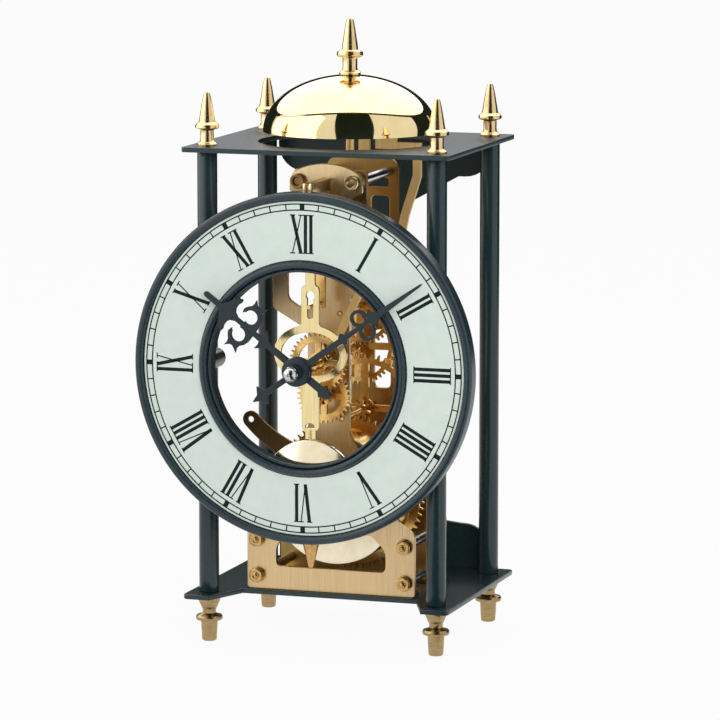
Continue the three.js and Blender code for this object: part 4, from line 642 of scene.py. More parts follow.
@dataclass
class Dial:
    """The black ring with its two beads, the silvered chapter ring and its print, and the two studs."""

    hole: float = 38.4
    face_radii: Point = (43.3, 66.4)
    outer: float = 70.0
    face_y: float = -59.7
    bead: float = 2.0
    back_y: float = -54.2
    numeral_radii: Point = (45.8, 61.2)
    track_radii: Point = (63.0, 65.4)
    ink: float = 0.04
    bar: float = 1.35
    hair: float = 0.45
    tick: float = 0.25
    hour_tick: float = 0.97
    serif: float = 1.12
    letter_widths: dict[str, float] = field(default_factory=lambda: {"I": 2.25, "V": 5.0, "X": 5.0})

    def ring(self) -> None:
        """Makes the black ring: a stepped inner moulding, the seat of the face and a rounded outer rim."""
        inner, outer, y = self.face_radii[0] - 0.05, self.face_radii[1] + 0.05, self.face_y
        crown = y - self.bead
        lip = [(self.hole, y + 0.4), *arc((self.hole + 0.6, y + 0.1), (0.6, 0.7), 180, 330, 6)]
        bead_middle = (self.hole + 1.5 + inner - 0.5) / 2
        bead_half = (inner - 0.5 - self.hole - 1.5) / 2
        bead = arc((bead_middle, y - 0.2), (bead_half, self.bead - 0.2), 180, 360, 14)
        rim = [(outer + 0.35, y + 0.35), (outer + 0.45, crown + 0.9),
               *arc((outer + 1.85, crown + 0.9), (1.4, 0.9), 180, 270, 5),
               *arc((self.outer - 1.4, crown + 1.5), (1.4, 1.5), 270, 360, 7)]
        profile = [(self.hole, self.back_y), *lip, (self.hole + 1.35, y + 0.3), *bead, (inner - 0.4, y + 0.2),
                   (inner, y + 0.2), (inner, y + 1.05), (outer, y + 1.05), (outer, y + 0.35), *rim,
                   (self.outer, self.back_y - 1), (self.outer - 1, self.back_y)]
        Shaper().turned(profile, Axis.Y, DIAL_CENTRE, 144, ring=True).piece(
            "lacquered_dial_ring", RING_LACQUER, "dial_body", smooth=30)
        # A thin matt dark sheet over the ring's inner wall, as painted shade there.
        Shaper().turned([(self.hole - 0.05, self.back_y - 0.05), (self.hole - 0.05, y + 0.5),
                         (self.hole + 0.1, y + 0.5), (self.hole + 0.1, self.back_y - 0.05)], Axis.Y,
                        DIAL_CENTRE, 144, ring=True).piece("painted_shade_dial_lining", SHADE_LINING)

    def face(self) -> None:
        """Makes the chapter ring."""
        Shaper().turned(box(*self.face_radii, self.face_y, self.face_y + 1), Axis.Y, DIAL_CENTRE, 128,
                        ring=True).piece("silvered_chapter_ring", SILVERED, "dial_face")

    def _strokes(self, letters: str) -> list[list[Point]]:
        """The strokes of a numeral, drawn upright with its foot at 0.

        Args:
            letters: The numeral's letters.

        Returns:
            Four-sided outlines.
        """
        tall, end = self.numeral_radii[1] - self.numeral_radii[0], 0.1
        left = -sum(self.letter_widths[c] for c in letters) / 2
        made: list[list[Point]] = []
        for c in letters:
            width = self.letter_widths[c]
            mid, reach = left + width / 2, width / 2 - 0.75
            slants = {"I": [], "V": [(-reach, 0.0, self.bar), (reach, 0.0, self.hair)],
                      "X": [(-reach, reach, self.bar), (reach, -reach, self.hair)]}[c]
            for head, foot, thick in slants:
                half = thick / 2 * 1.05
                made.append([(mid + foot - half, end), (mid + foot + half, end),
                             (mid + head + half, tall - end), (mid + head - half, tall - end)])
            if c == "I":
                made.append(box(mid - self.bar / 2, mid + self.bar / 2, end, tall - end))
            serifs = {"I": [(0.0, 0.0), (0.0, tall)], "V": [(-reach, tall), (reach, tall)],
                      "X": [(-reach, tall), (reach, tall), (reach, 0.0), (-reach, 0.0)]}[c]
            for x, v in serifs:
                low = v if v == 0 else v - self.hair
                made.append(box(mid + x - self.serif, mid + x + self.serif, low, low + self.hair))
            left += width
        return made

    def print_ink(self) -> None:
        """Makes the numerals and the minute track, printed on the chapter ring."""
        near, far = self.face_y - self.ink, self.face_y + 0.02
        ink = Shaper()
        for hour, letters in enumerate("XII I II III IIII V VI VII VIII IX X XI".split()):
            for stroke in self._strokes(letters):
                raised = [(x, z + self.numeral_radii[0]) for x, z in stroke]
                ink.slab(raised, near, far, turn=on_dial(30 * hour))
        for radius in self.track_radii:
            ink.turned(box(radius - self.tick, radius + self.tick, near, far), Axis.Y, DIAL_CENTRE, 160,
                       ring=True)
        for minute in range(60):
            half = self.tick if minute % 5 else self.hour_tick
            ink.slab(box(-half, half, *self.track_radii), near, far, turn=on_dial(6 * minute))
        ink.piece("dial_print", INK)

    def build(self) -> None:
        """Makes the whole dial."""
        self.ring()
        self.face()
        self.print_ink()
        for side in ("left", "right"):
            dressed_copy(f"dial_stud_{side}", f"lacquered_dial_stud_{side}", LACQUER)


@dataclass
class Hands:
    """The pierced hour and minute hands and the ball nut in front of them."""

    sheet: float = 1.2
    hour_y: float = -65.1
    minute_y: float = -67.7
    hour_angle: float = -52.8
    minute_angle: float = 54.5
    hub: float = 5.85
    boss: float = 0.7
    collar: float = 3.6
    nut_y: float = -67.75
    nut_length: float = 9.4

    def _hand(self, shapes: Iterable[Sequence[Point]], y: float, degrees: float, neck: float) -> Shaper:
        """A hand cut from sheet and turned to the time.

        Args:
            shapes: Its outlines.
            y: Where its front face lies.
            degrees: Its turn from upright.
            neck: How far its collar stands in front of its boss.

        Returns:
            The hand's mesh.
        """
        shaper = Shaper()
        for i, shape in enumerate(shapes):
            # Each outline stands a hair proud of the one before, so that no two faces lie in one plane.
            proud = 0.012 * i
            shaper.slab(shape, y - proud, y + self.sheet + proud, edge=0.16, turn=on_dial(degrees))
        front = y - self.boss
        shaper.turned([(2.75, y + 0.2), (2.75, front - neck), (3.1, front - neck), (3.2, front - 0.1),
                       (self.hub - 0.5, front), (self.hub - 0.15, front + 0.15), (self.hub, front + 0.45),
                       (self.hub, y + 0.2)], Axis.Y, DIAL_CENTRE, 56, ring=True)
        return shaper

    def hour_shapes(self) -> list[list[Point]]:
        """Hub, stem, tail, barbs, crown and the two leaf-ended scrolls of the hour hand.

        Returns:
            Outlines of the hand when it points upwards.
        """
        stem = mirrored([(1.5, 0), (1.2, 15), (1.0, 24), (0.95, 33), (1.2, 37), (1.1, 48.2), (0.5, 49)])
        tail = mirrored([(0.8, -16.6), (1.7, -14.4), (3.0, -12.5), (1.5, -11.2), (1.4, 0)])
        barbs = mirrored([(0, 15.6), (1.4, 16.4), (2.9, 17.6), (4.6, 19.7), (2.4, 19.4), (0, 20)])
        crown = mirrored([(0, 32), (1.1, 32.4), (1.9, 34.0), (3.4, 34.9), (5.2, 34.9), (6.6, 34.3),
                          (8.0, 34.6), (7.2, 36.6), (5.4, 38.0), (3.0, 39.0), (1.1, 40.6), (0, 41)])
        leaf = [(0.5, 22.9), (2.4, 22.9), (4.4, 23.0), (6.2, 23.6), (7.8, 24.9), (9.2, 25.2), (11.0, 24.5),
                (10.0, 26.0), (9.4, 27.4), (9.7, 28.6), (11.4, 30.2), (9.6, 30.0), (8.2, 30.4),
                (6.9, 31.6), (5.6, 32.3), (3.7, 31.8), (4.6, 31.3)]
        bore = arc((4.3, 28.0), (2.85, 2.85), 84, -200, 22)
        scroll = [*leaf, *bore, (0.9, 29.4), (0.5, 29.2)]
        return [circle((0, 0), self.hub - 0.3, 48), stem, tail, barbs, crown, scroll, flipped(scroll)]

    def minute_shapes(self) -> list[list[Point]]:
        """Hub, stem, tail, collar, barbs and the two scrolls of the minute hand.

        Returns:
            Outlines of the hand when it points upwards.
        """
        stem = mirrored([(1.3, 0), (1.2, 20), (0.9, 31), (0.9, 38), (1.3, 43), (0.45, 62.4), (0.15, 63.4)])
        tail = mirrored([(0.25, -21.8), (1.4, -18.9), (4.3, -17.2), (2.4, -15.9), (1.1, -15.2), (1.2, 0)])
        collar = mirrored([(0, 21.6), (1.4, 22.4), (2.6, 24.0), (1.3, 24.9), (0, 25.4)])
        barbs = mirrored([(0, 36.6), (1.6, 37.2), (3.9, 38.6), (2.2, 39.8), (1.1, 41.6), (0, 42)])
        outer = arc((3.2, 33.8), (3.4, 3.4), -165, 100, 22)
        inner = arc((3.2, 33.8), (2.1, 2.1), 92, -165, 20)
        scroll = [*outer, *inner, (0.4, 33.3)]
        ball = circle((2.8, 36.5), 1.0, 16)
        return [circle((0, 0), self.hub - 0.3, 48), stem, tail, collar, barbs, scroll,
                flipped(scroll), ball, flipped(ball)]

    def build(self) -> None:
        """Makes both hands and the nut."""
        self._hand(self.hour_shapes(), self.hour_y, self.hour_angle, 0.15).piece(
            "pierced_hour_hand", HAND_BLACK, "hour_hand", "hour_pipe")
        self._hand(self.minute_shapes(), self.minute_y, self.minute_angle, self.collar).piece(
            "pierced_minute_hand", HAND_BLACK, "minute_hand", "minute_arbor")
        front = self.nut_y - self.nut_length
        ball = arc((0, front + 3.0), (3.05, 3.0), -78, 40, 14)
        profile = [(0, front + 0.6), (0.5, front + 0.3), *ball, (2.0, front + 6.0), (2.5, front + 7.0),
                   (2.55, self.nut_y), (0, self.nut_y)]
        Shaper().turned(profile, Axis.Y, DIAL_CENTRE).piece(
            "bright_hand_nut", STEEL, "hand_nut", "minute_arbor")


@dataclass
class Pendulum:
    """The flat rod with its loop round the hands' shaft, the lens bob and the rating nut."""

    y: float = -49.5
    sheet: float = 1.2
    half: float = 3.75
    neck: float = 2.0
    rod_top: float = 172.8
    neck_low: float = 149.8
    loop_z: float = 121.0
    loop_radii: Point = (15.2, 11.6)
    loop_angle: float = 70.6
    band: float = 3.0
    flat_end: float = 90.5
    stem: float = 2.2
    thread: float = 0.9
    slot_z: float = 139.8
    bob_z: float = 66.6
    bob_radius: float = 20.0
    bob_rim: float = 19.5
    bob_edge: float = 1.3
    bob_bulge: float = 2.7
    nut_top: float = 46.55
    nut_length: float = 11.5

    def _rod_half(self) -> list[Point]:
        """The right half of the rod's outline: neck, shoulder, strip, loop, lower strip and stem.

        Returns:
            Its points from the top down.
        """
        low = self.neck_low
        shoulder = [*arc((self.neck + 0.8, low), (0.8, 1.7), 180, 270, 5),
                    *arc((self.half - 0.95, low - 3.9), (0.95, 2.2), 90, 0, 6)]
        root = self.loop_z + 12.6
        foot = self.loop_z - 12.5
        loop = arc((0, self.loop_z), self.loop_radii, self.loop_angle, -self.loop_angle, 40)
        return [(self.neck, self.rod_top), *shoulder, *arc((self.half + 1.65, root), (1.65, 1.65), 180, 250, 6),
                *loop, *arc((self.half + 1.55, foot), (1.6, 1.6), 110, 180, 6),
                (self.half - 0.1, self.flat_end + 1.7),
                *arc((self.half - 1.3, self.flat_end + 1.7), (1.2, 1.7), 0, -90, 5),
                (self.stem, self.flat_end), (self.stem, self.bob_z + self.bob_radius + 0.3)]

    def rod(self) -> None:
        """Makes the rod with its keyhole slot, the loop, the hook slot and the threaded end."""
        near, far = self.y - self.sheet / 2, self.y + self.sheet / 2
        keyhole = [*arc((0, self.slot_z + 4.6), (1.75, 1.75), -48, 228, 16),
                   *arc((0, self.slot_z - 3.6), (1.15, 1.15), 180, 360, 10)]
        inner = arc((0, self.loop_z), tuple(r - self.band for r in self.loop_radii), 0, 360, 72)[:-1]
        hook = [(-2.1, self.flat_end + 0.9), (1.7, self.flat_end + 0.9),
                *arc((-0.2, self.flat_end + 1.3), (1.9, 1.5), 0, 180, 10)]
        rod = Shaper().slab(mirrored(self._rod_half()), near, far, holes=[keyhole, inner, hook], edge=0.14)
        low = self.nut_top - self.nut_length * 0.7
        rod.turned(box(0, self.thread, low, self.flat_end), Axis.Z, (0, self.y, 0), 20)
        rod.piece("polished_pendulum_rod", STRIP_BRASS, "pendulum_rod", "pendulum")

    def bob(self) -> None:
        """Makes the lens-shaped bob with a narrow flat rim."""
        reach = self.bob_rim / self.bob_radius
        face = [(self.bob_rim * i / 20, self.bob_edge + self.bob_bulge * (1 - (reach * i / 20) ** 2))
                for i in range(21)]
        edge = arc((self.bob_rim - 0.1, 0.9), (self.bob_radius - self.bob_rim + 0.1, 0.55), 80, 0, 5)
        front = [*face, *edge]
        lens = [(r, -h) for r, h in front] + [(r, h) for r, h in reversed(front)]
        Shaper().turned(lens, Axis.Y, (0, self.y, self.bob_z), 96).piece(
            "polished_pendulum_bob", BOB_BRASS, "pendulum_bob", "pendulum")

    def build(self) -> None:
        """Makes the whole pendulum."""
        self.rod()
        self.bob()
        tip = -self.nut_length
        nut = [(0, tip), (0.7, tip), (0.95, tip + 0.3), (3.2, -2.2), (3.6, -1.6), (3.6, 0), (0, 0)]
        Shaper().turned(nut, Axis.Z, (0, self.y, self.nut_top), 40, edge=0.12).piece(
            "turned_rating_nut", NUT_BRASS, "rating_nut", "rating")
        dressed_copy("suspension_spring", "blued_suspension_spring", STEEL, "pendulum")


@dataclass
class Plates:
    """The front and back plate of the movement, the pillars and nuts between and on them, and the cock."""

    foot_z: float = 20.25
    half_width: float = 35.6
    block_top: float = 46.0
    chamfer: float = 6.3
    sheet: float = 1.8
    edge: float = 0.16
    easing: float = 2.4
    front_y: float = -25.0
    back_y: float = 16.2
    head_half: float = 15.3
    head_levels: Point = (179.3, 191.8)
    window: tuple[Point, ...] = ((23.2, 29.8), (23.2, 38.4), (16.8, 44.8))
    waist: Place = (-9.6, 8.0, 85.3)
    arm: tuple[Point, ...] = ((-15.3, 191.8), (-15.3, 179.3), (-24.4, 170.2), (-24.4, 135.3), (-9.6, 126.8))
    arm_window: tuple[Point, ...] = ((-18, 139.3), (-13, 136.1), (-5, 136.1), (-5, 165.3), (-18, 165.3))
    ear: tuple[Point, ...] = ((21.0, 145.5), (21.0, 154.5))
    ear_root: float = 141.0
    back_waist: float = 83.8
    back_head: Place = (163.5, 188.4, 4.0)
    back_slots: tuple[Span, ...] = (
        (-11.5, -5, 87.5, 143.2), (5, 12, 98.3, 122.3), (3.5, 11.5, 159.5, 177.4), (-11.5, -3.5, 160.5, 177.4),
        (2.8, 11.2, 180.9, 184.6), (-11.2, -2.8, 180.9, 184.6))
    lever_at: Point = (-9.0, 74.5)
    lever_post: float = -28.2
    lever_boss: tuple[Point, ...] = ((0, -28.1), (1.7, -28.1), (2.4, -27.7), (2.4, -26.85), (0, -26.85))
    motion_at: Point = (0.0, 101.9)
    motion_post: float = -43.4
    click_at: Point = (-18.46, 65.95)
    click_post: tuple[Point, ...] = ((0, 17), (1.2, 17), (1.2, 20.0), (0.9, 20.25), (0, 20.25))
    nut_radius: float = 3.2
    nut_height: float = 2.6
    washer_radius: float = 3.3
    washer_sheet: float = 0.5
    nut_places: dict[str, Point] = field(default_factory=lambda: {
        "low_left": (-31.2, 25.9), "low_right": (31.2, 25.9),
        "high_left": (-31.2, 40.7), "high_right": (31.2, 40.7)})
    head_places: dict[str, Point] = field(default_factory=lambda: {
        "left": (-11.3, 187.51), "right": (11.3, 187.51)})
    cock_levels: Point = (-30.8, -29.2)
    cock_rise: float = 7.2
    cock_foot: Point = (6, 178.8)
    cock_hole: Point = (0, 181.81)
    cock_collar: Span = (1.45, 3.4, -29.25, -25.05)
    lug_tip: float = -53.0
    lug_levels: Point = (184.0, 189.2)
    lug_cheeks: tuple[Point, ...] = ((-2.3, -0.25), (0.25, 2.3))
    screw: tuple[Point, ...] = (
        (0, -32.3), (1.5, -32.3), (1.7, -32.6), (1.85, -33.4), (2.6, -33.45), (2.9, -33.1), (3.0, -32.6),
        (3.0, -30.85), (1.2, -30.85), (1.2, -25.3), (0, -25.3))
    # The left screw takes the dark bronzed brown as painted shade; the two screws are the same turned brass.
    screw_finishes_with_painted_shade: dict[str, Finish] = field(default_factory=lambda: {"left": BRONZED_AND_SHADE, "right": POLISHED})
    arbors: tuple[Point, ...] = ((4.8, 91.56), (4.0, 134.06), (-2.0, 151.24), (0.0, 166.51))

    def _block(self) -> list[Point]:
        """The right side of a plate's broad lower block, from the foot up."""
        x, top = self.half_width, self.block_top
        return [(x, self.foot_z), (x, top), (x - self.chamfer, top + 0.7 * self.chamfer)]

    def _tabs(self, shaper: Shaper, near: float, far: float) -> None:
        """Adds the two feet that a plate stands on."""
        for side in (-1, 1):
            outer = side * (self.half_width - 2)
            inner = outer - side * 12
            shaper.block((min(inner, outer), near, self.foot_z + 0.02),
                         (max(inner, outer), far, self.foot_z + 1.8))

    def front(self) -> None:
        """Makes the front plate with its posts for the minute wheel and the strike lever."""
        left, right, low = self.waist
        outline = [*self._block(), (right, low), (right, self.ear_root), *self.ear,
                   *[(self.head_half, z) for z in self.head_levels], *self.arm, (left, low),
                   *flipped(self._block())]
        holes = [eased(mirrored(self.window), self.easing), eased(self.arm_window, 2.0)]
        holes += [circle(at, 1.0, 20) for at in self.arbors]
        plate = Shaper().slab(eased(outline, 1.6), self.front_y, self.front_y + self.sheet, holes=holes,
                              edge=self.edge)
        self._tabs(plate, self.front_y + 0.4, self.front_y + self.sheet + 10)
        for (x, z), end in ((self.motion_at, self.motion_post), (self.lever_at, self.lever_post)):
            plate.turned([(0, end), (0.8, end), (1.2, end + 0.4), (1.2, -24), (0, -24)], Axis.Y, (x, 0, z), 24)
        x, z = self.lever_at
        plate.turned(self.lever_boss, Axis.Y, (x, 0, z), 32)
        plate.piece("finished_front_plate", BRUSHED, "front_plate")

    def back(self) -> None:
        """Makes the back plate with its lightening holes and the click's post."""
        neck, rounding_z, radius = self.back_head
        head = arc((self.head_half - radius, rounding_z), (radius, radius), 0, 90, 8)
        half = [*self._block(), (self.head_half, self.back_waist)]
        outline = [*half, (self.head_half, self.ear_root), *self.ear, (self.head_half, neck), *head,
                   *flipped(head), *flipped(half)]
        holes = [eased(mirrored(self.window), self.easing)]
        holes += [eased(box(*slot), min(2.2, (slot[3] - slot[2]) / 3)) for slot in self.back_slots]
        plate = Shaper().slab(outline, self.back_y, self.back_y + self.sheet, holes=holes, edge=self.edge)
        self._tabs(plate, self.back_y - 10, self.back_y + self.sheet - 0.4)
        x, z = self.click_at
        plate.turned(self.click_post, Axis.Y, (x, 0, z), 24)
        plate.piece("finished_back_plate", SHADED_BACK_BRASS, "back_plate")

    def nuts(self) -> None:
        """Makes the pillars between the plates, and the nuts with washer and dome on their front ends."""
        front = self.front_y - 0.05
        face = front - self.nut_height
        dome = [*arc((0, face + 0.2), (1.5, 1.3), -90, 0, 6), (0, face + 0.3)]
        for place, (x, z) in self.nut_places.items():
            dressed_copy(f"plate_pillar_{place}", f"finished_plate_pillar_{place}", STEEL)
            corners = arc((x, z), (self.nut_radius, self.nut_radius), 30, 330, 5)
            nut = Shaper().slab(eased(corners, 0.9), face, front - 0.4, edge=0.4)
            nut.turned(dome, Axis.Y, (x, 0, z), 28)
            nut.turned(box(0, self.washer_radius, front - self.washer_sheet, front), Axis.Y, (x, 0, z), 36,
                       edge=0.1)
            nut.piece(f"finished_plate_nut_{place}", NUT_BRASS, f"plate_nut_{place}")

    def cock(self) -> None:
        """Makes the suspension cock with its split lug, and the two round screws that hold it."""
        side, centre = self.head_places["right"]
        shoulder = (self.head_half, centre - 4)
        outline = [*flipped([self.cock_foot, shoulder]), self.cock_foot, shoulder,
                   *arc((0, centre), (self.head_half, self.cock_rise), 0, 180, 36)]
        cock = Shaper().slab(outline, *self.cock_levels, holes=[circle(self.cock_hole, 1.4, 24)], edge=0.3)
        root, (low, high) = self.cock_levels[0] + 0.1, self.lug_levels
        for left, right in self.lug_cheeks:
            cock.block((left, self.lug_tip, low), (right, root, high), edge=0.75)
        cock.block((-2.2, self.lug_tip + 0.8, low + 0.1), (2.2, root, high - 1.2), edge=0.3)
        for x in (-side, side):
            cock.turned(box(*self.cock_collar), Axis.Y, (x, 0, centre), 36, ring=True)
        cock.piece("finished_suspension_cock", LIT_COCK_BRASS, "suspension_cock")
        for end, (x, z) in self.head_places.items():
            dressed_copy(f"head_pillar_{end}", f"finished_head_pillar_{end}", STEEL)
            Shaper().turned(self.screw, Axis.Y, (x, 0, z), 40).piece(
                f"finished_cock_screw_{end}", self.screw_finishes_with_painted_shade[end], f"cock_screw_{end}")

    def build(self) -> None:
        """Makes both plates and everything fixed to them."""
        self.front()
        self.back()
        self.nuts()
        self.cock()


@dataclass
class Movement:
    """The going train, motion work, winding and strike between and in front of the plates."""

    copies: dict[str, tuple[str, Finish]] = field(default_factory=lambda: {
        "barrel": ("barrel_drum", GEAR_BRASS), "mainspring": ("barrel_drum", STEEL),
        "barrel_arbor": ("winding_arbor", STEEL), "ratchet_wheel": ("winding_arbor", GEAR_BRASS),
        "click": ("click_pawl", STEEL), "second_wheel": ("second_arbor", GEAR_BRASS),
        "centre_wheel": ("centre_arbor", GEAR_BRASS), "third_wheel": ("third_arbor", GEAR_BRASS),
        "fourth_wheel": ("fourth_arbor", GEAR_BRASS), "escape_wheel": ("escape_arbor", GEAR_BRASS),
        "pallet_anchor": ("pallets", GEAR_BRASS), "cannon_pinion": ("minute_arbor", GEAR_BRASS),
        "minute_wheel": ("motion_wheel", GEAR_BRASS), "hour_wheel": ("hour_pipe", GEAR_BRASS),
        "hammer": ("hammer_arbor", HAMMER_BRASS)})
    edge: float = 0.07
    barrel_at: Place = (0, 0, 57.5)
    cap_radii: Point = (2.7, 26.3)
    cap_levels: Point = (-20.7, -19.5)
    lever_at: Point = (-9.0, 74.5)
    lever_end: Point = (-33.4, 89.7)
    lever_bow: float = 1.9
    lever_widths: Point = (8.0, 6.9)
    lever_levels: Point = (-26.5, -25.3)
    lever_steps: int = 14

    def lever(self) -> None:
        """Makes the bowed strike lever with the eye at its end."""
        along = Vector(self.lever_end) - Vector(self.lever_at)
        across = Vector((-along.y, along.x)).normalized()
        first, last = self.lever_widths
        path: list[Point] = []
        widths: list[float] = []
        for i in range(self.lever_steps + 1):
            share = i / self.lever_steps
            spot = Vector(self.lever_at) + along * share + across * 4 * self.lever_bow * share * (1 - share)
            path.append((spot.x, spot.y))
            widths.append(first + (last - first) * share)
        Shaper().slab(round_ended(path, widths), *self.lever_levels, edge=0.18,
                      holes=[circle(self.lever_end, 1.2, 24), circle(self.lever_at, 1.4, 24)]).piece(
            "bronzed_strike_lever", BRONZED_AND_SHADE, "strike_lever", "strike")

    def build(self) -> None:
        """Makes every moving piece of the movement."""
        for name, (body, finish) in self.copies.items():
            dressed_copy(name, f"finished_{name}", finish, body, self.edge)
        Shaper().turned(box(*self.cap_radii, *self.cap_levels), Axis.Y, self.barrel_at, 96, ring=True,
                        edge=0.2).piece("turned_barrel_cap", CAP_BRASS, "barrel_cap", "barrel_drum")
        self.lever()


# Studio

def shown(tree: bpy.types.NodeTree) -> bpy.types.NodeSocket:
    """Tells the eye's rays and reflections from rays that only bring light.

    Args:
        tree: The node tree, of a material or the world.

    Returns:
        A socket that is 1 for rays of the eye, off gloss and through glass, and 0 for others.
    """
    path = add_node(tree, "ShaderNodeLightPath").outputs
    seen = add_node(tree, "ShaderNodeMath", {"operation": "MAXIMUM"},
                    links={0: path["Is Camera Ray"], 1: path["Is Glossy Ray"]}).outputs[0]
    return add_node(tree, "ShaderNodeMath", {"operation": "MAXIMUM"},
                    links={0: seen, 1: path["Is Transmission Ray"]}).outputs[0]


@dataclass(frozen=True)
class Lamp:
    """A soft flat lamp: its place, what it faces and its size in metres, its power and its use."""

    name: str
    at: Place
    aim: Place
    size: Point
    watts: float
    use: LampUse


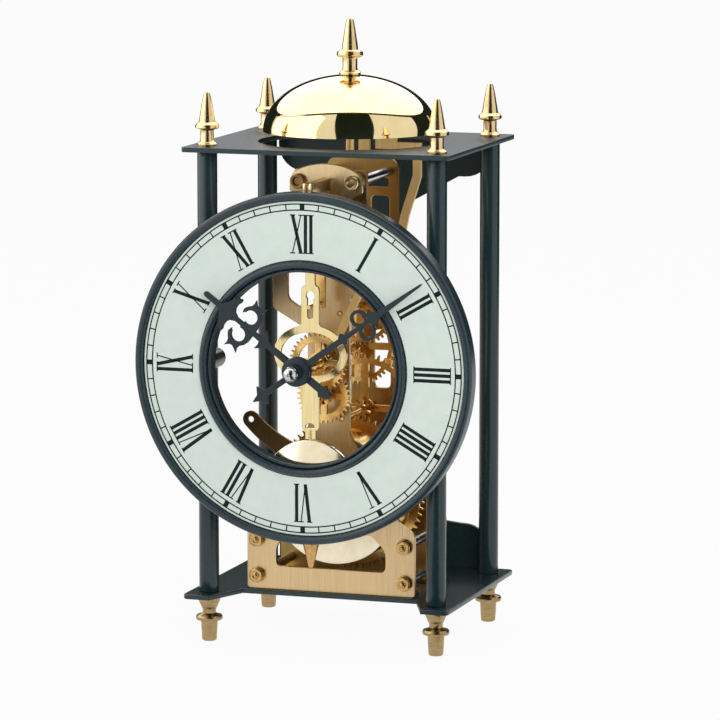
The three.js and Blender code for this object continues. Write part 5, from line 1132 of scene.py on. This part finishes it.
@dataclass
class Studio:
    """A pale floor, soft light, and the photograph's camera, in metres and degrees.

    Each row of a cloth has the first and last direction to the right of the camera, seen from the clock, and
    then the distance and the height.
    """

    camera_at: Place = (0.59658, -1.78409, 0.39027)
    yaw: float = 18.22
    pitch: float = 8.36
    lens: float = 236.22
    sensor: float = 36
    ambient: float = 0.5
    white: float = 0.965
    floor_half: float = 6
    floor_glow: float = 0.94
    bell_at: Place = (0.0, 0.015, 0.21)
    box_elevation: float = 62.5
    box_radii: Point = (1.3, 1.09)
    box_border: float = 0.16
    box_glow: float = 2.1
    box_steps: int = 72
    cloth_steps: int = 24
    lamps: tuple[Lamp, ...] = (
        Lamp("key", (0.75, -1.35, 0.6), (0, 0, 0.12), (1.2, 0.8), 16, LampUse.LIGHTING),
        Lamp("left_panel", (-1.103, -0.473, 1.15), (0, 0, 1.15), (2.0, 2.0), 13.8, LampUse.MIRRORED))
    cloths: dict[str, tuple[Span, ...]] = field(default_factory=lambda: {
        "floor_cloth": ((-8, 50, 0.07, 0.002), (-10, 30, 0.25, 0.002), (-19, 17, 0.5, 0.002),
                        (-22, 14, 1.4, 0.002)),
        "front_cloth": ((-17, 30, 1.4, 0.002), (-34, 48, 1.4, 3.7)),
        "rear_cloth": ((99, 233, 1.33, 0.002), (99, 233, 2.5, 0.002), (110, 224, 2.5, 2.7))})

    def _behind(self, rise: float) -> Vector:
        """The way from the clock straight away from the camera, risen by this many degrees."""
        yaw, rise = math.radians(self.yaw), math.radians(rise)
        return Vector((-math.sin(yaw) * math.cos(rise), math.cos(yaw) * math.cos(rise), math.sin(rise)))

    @staticmethod
    def _looking(at: Sequence[float], way: Vector) -> Matrix:
        """The place of a camera, lamp or cloth that stands at a point and faces this way."""
        return Matrix.Translation(at) @ way.to_track_quat("-Z", "Y").to_matrix().to_4x4()

    def camera(self) -> None:
        """Sets up the camera."""
        data = bpy.data.cameras.new("camera")
        data.lens, data.sensor_width = self.lens, self.sensor
        obj = in_scene("camera", data)
        obj.matrix_world = self._looking(self.camera_at, self._behind(-self.pitch))
        bpy.context.scene.camera = obj

    def light(self, lamp: Lamp) -> None:
        """Sets up a lamp."""
        data = bpy.data.lights.new(lamp.name, "AREA")
        data.shape = "RECTANGLE"
        data.size, data.size_y = lamp.size
        data.energy = lamp.watts
        obj = in_scene(lamp.name, data)
        obj.matrix_world = self._looking(lamp.at, Vector(lamp.aim) - Vector(lamp.at))
        obj.visible_camera = False
        obj.visible_glossy = lamp.use is LampUse.MIRRORED
        obj.visible_diffuse = lamp.use is LampUse.LIGHTING

    def sky(self) -> None:
        """Sets the room: white to the eye and in reflections, softer as light."""
        world = bpy.data.worlds.new("studio")
        world.use_nodes = True
        bpy.context.scene.world = world
        tree = world.node_tree
        strength = add_node(tree, "ShaderNodeMapRange", values={"To Min": self.ambient, "To Max": self.white},
                            links={"Value": shown(tree)})
        ground = tree.nodes["Background"]
        ground.inputs["Color"].default_value = (1, 1, 1, 1)
        tree.links.new(strength.outputs["Result"], ground.inputs["Strength"])

    def floor(self) -> None:
        """Lays the pale floor, which stays white to the eye and takes a soft shadow."""
        mesh = bpy.data.meshes.new("floor")
        bm = bmesh.new()
        bmesh.ops.create_grid(bm, x_segments=1, y_segments=1, size=self.floor_half)
        bm.to_mesh(mesh)
        bm.free()
        made = bpy.data.materials.new("white studio paper")
        made.use_nodes = True
        tree = made.node_tree
        shader = tree.nodes["Principled BSDF"]
        shader.inputs["Base Color"].default_value = linear("#f4f4f4")
        shader.inputs["Roughness"].default_value = 0.9
        glow = add_node(tree, "ShaderNodeEmission", values={"Color": (1, 1, 1, 1), "Strength": 1.0})
        share = add_node(tree, "ShaderNodeMath", {"operation": "MULTIPLY"}, {1: self.floor_glow},
                         {0: shown(tree)})
        mix = add_node(tree, "ShaderNodeMixShader", links={0: share.outputs[0], 1: shader.outputs[0],
                                                           2: glow.outputs[0]})
        tree.links.new(mix.outputs[0], tree.nodes["Material Output"].inputs["Surface"])
        mesh.materials.append(made)
        in_scene("floor", mesh)

    def _hang(self, name: str, cloth: bmesh.types.BMesh, kind: str = "black studio cloth",
              tone: str = "#2a3532", glow: float = 0.0) -> None:
        """Makes a mesh a cloth that only reflections show.

        Args:
            name: The cloth's name.
            cloth: Its mesh, which is used up.
            kind: Its material's name.
            tone: Its colour.
            glow: Its own light; 1 is white.
        """
        mesh = bpy.data.meshes.new(name)
        cloth.to_mesh(mesh)
        cloth.free()
        made = bpy.data.materials.get(kind) or bpy.data.materials.new(kind)
        made.use_nodes = True
        surface = {"Base Color": linear(tone), "Roughness": 1.0, "Specular IOR Level": 0.0,
                   "Emission Color": (1, 1, 1, 1), "Emission Strength": glow}
        for socket, value in surface.items():
            made.node_tree.nodes["Principled BSDF"].inputs[socket].default_value = value
        mesh.materials.append(made)
        obj = in_scene(name, mesh)
        obj.visible_camera = obj.visible_diffuse = obj.visible_shadow = False

    def softbox(self) -> None:
        """Hangs the oval white silk that the bell mirrors, and its black border, behind and above."""
        away = self._behind(self.box_elevation)
        place = self._looking(Vector(self.bell_at) + away, -away) @ Matrix.Diagonal((*self.box_radii, 1, 1))
        silk = bmesh.new()
        bmesh.ops.create_circle(silk, cap_ends=True, segments=self.box_steps, radius=1, matrix=place)
        self._hang("softbox_silk", silk, "white studio silk", "#101010", self.box_glow)
        border = bmesh.new()
        bmesh.ops.create_circle(border, cap_ends=False, segments=self.box_steps, radius=1)
        grown = bmesh.ops.extrude_edge_only(border, edges=border.edges[:])
        bmesh.ops.scale(border, vec=(1 + self.box_border,) * 3, verts=new_verts(grown))
        bmesh.ops.transform(border, matrix=place, verts=border.verts)
        self._hang("softbox_border", border)

    def flag(self, name: str, rows: Sequence[Span]) -> None:
        """Hangs a black cloth where the brass mirrors the unlit part of the room.

        Args:
            name: The cloth's name.
            rows: Its edges in order.
        """
        cloth = bmesh.new()
        below: list[bmesh.types.BMEdge] = []
        for first, last, distance, height in rows:
            angles = [math.radians(self.yaw - 90 + first + (last - first) * i / self.cloth_steps)
                      for i in range(self.cloth_steps + 1)]
            verts = [cloth.verts.new((distance * math.cos(a), distance * math.sin(a), height)) for a in angles]
            edges = [cloth.edges.new(pair) for pair in zip(verts, verts[1:])]
            if below:
                bmesh.ops.bridge_loops(cloth, edges=below + edges)
            below = edges
        self._hang(name, cloth)

    def build(self) -> None:
        """Sets up the whole studio."""
        bpy.context.scene.view_settings.view_transform = "Standard"
        self.camera()
        self.sky()
        self.floor()
        for lamp in self.lamps:
            self.light(lamp)
        self.softbox()
        for name, rows in self.cloths.items():
            self.flag(name, rows)


def main() -> None:
    """Builds the clock's sub-assemblies and the studio in order."""
    logging.basicConfig(level=logging.INFO, format="%(message)s")
    for part in (Stand(), Bell(), Dial(), Hands(), Pendulum(), Plates(), Movement(), Studio()):
        LOG.info("building %s", type(part).__name__)
        part.build()


if __name__ == "__main__":
    main()
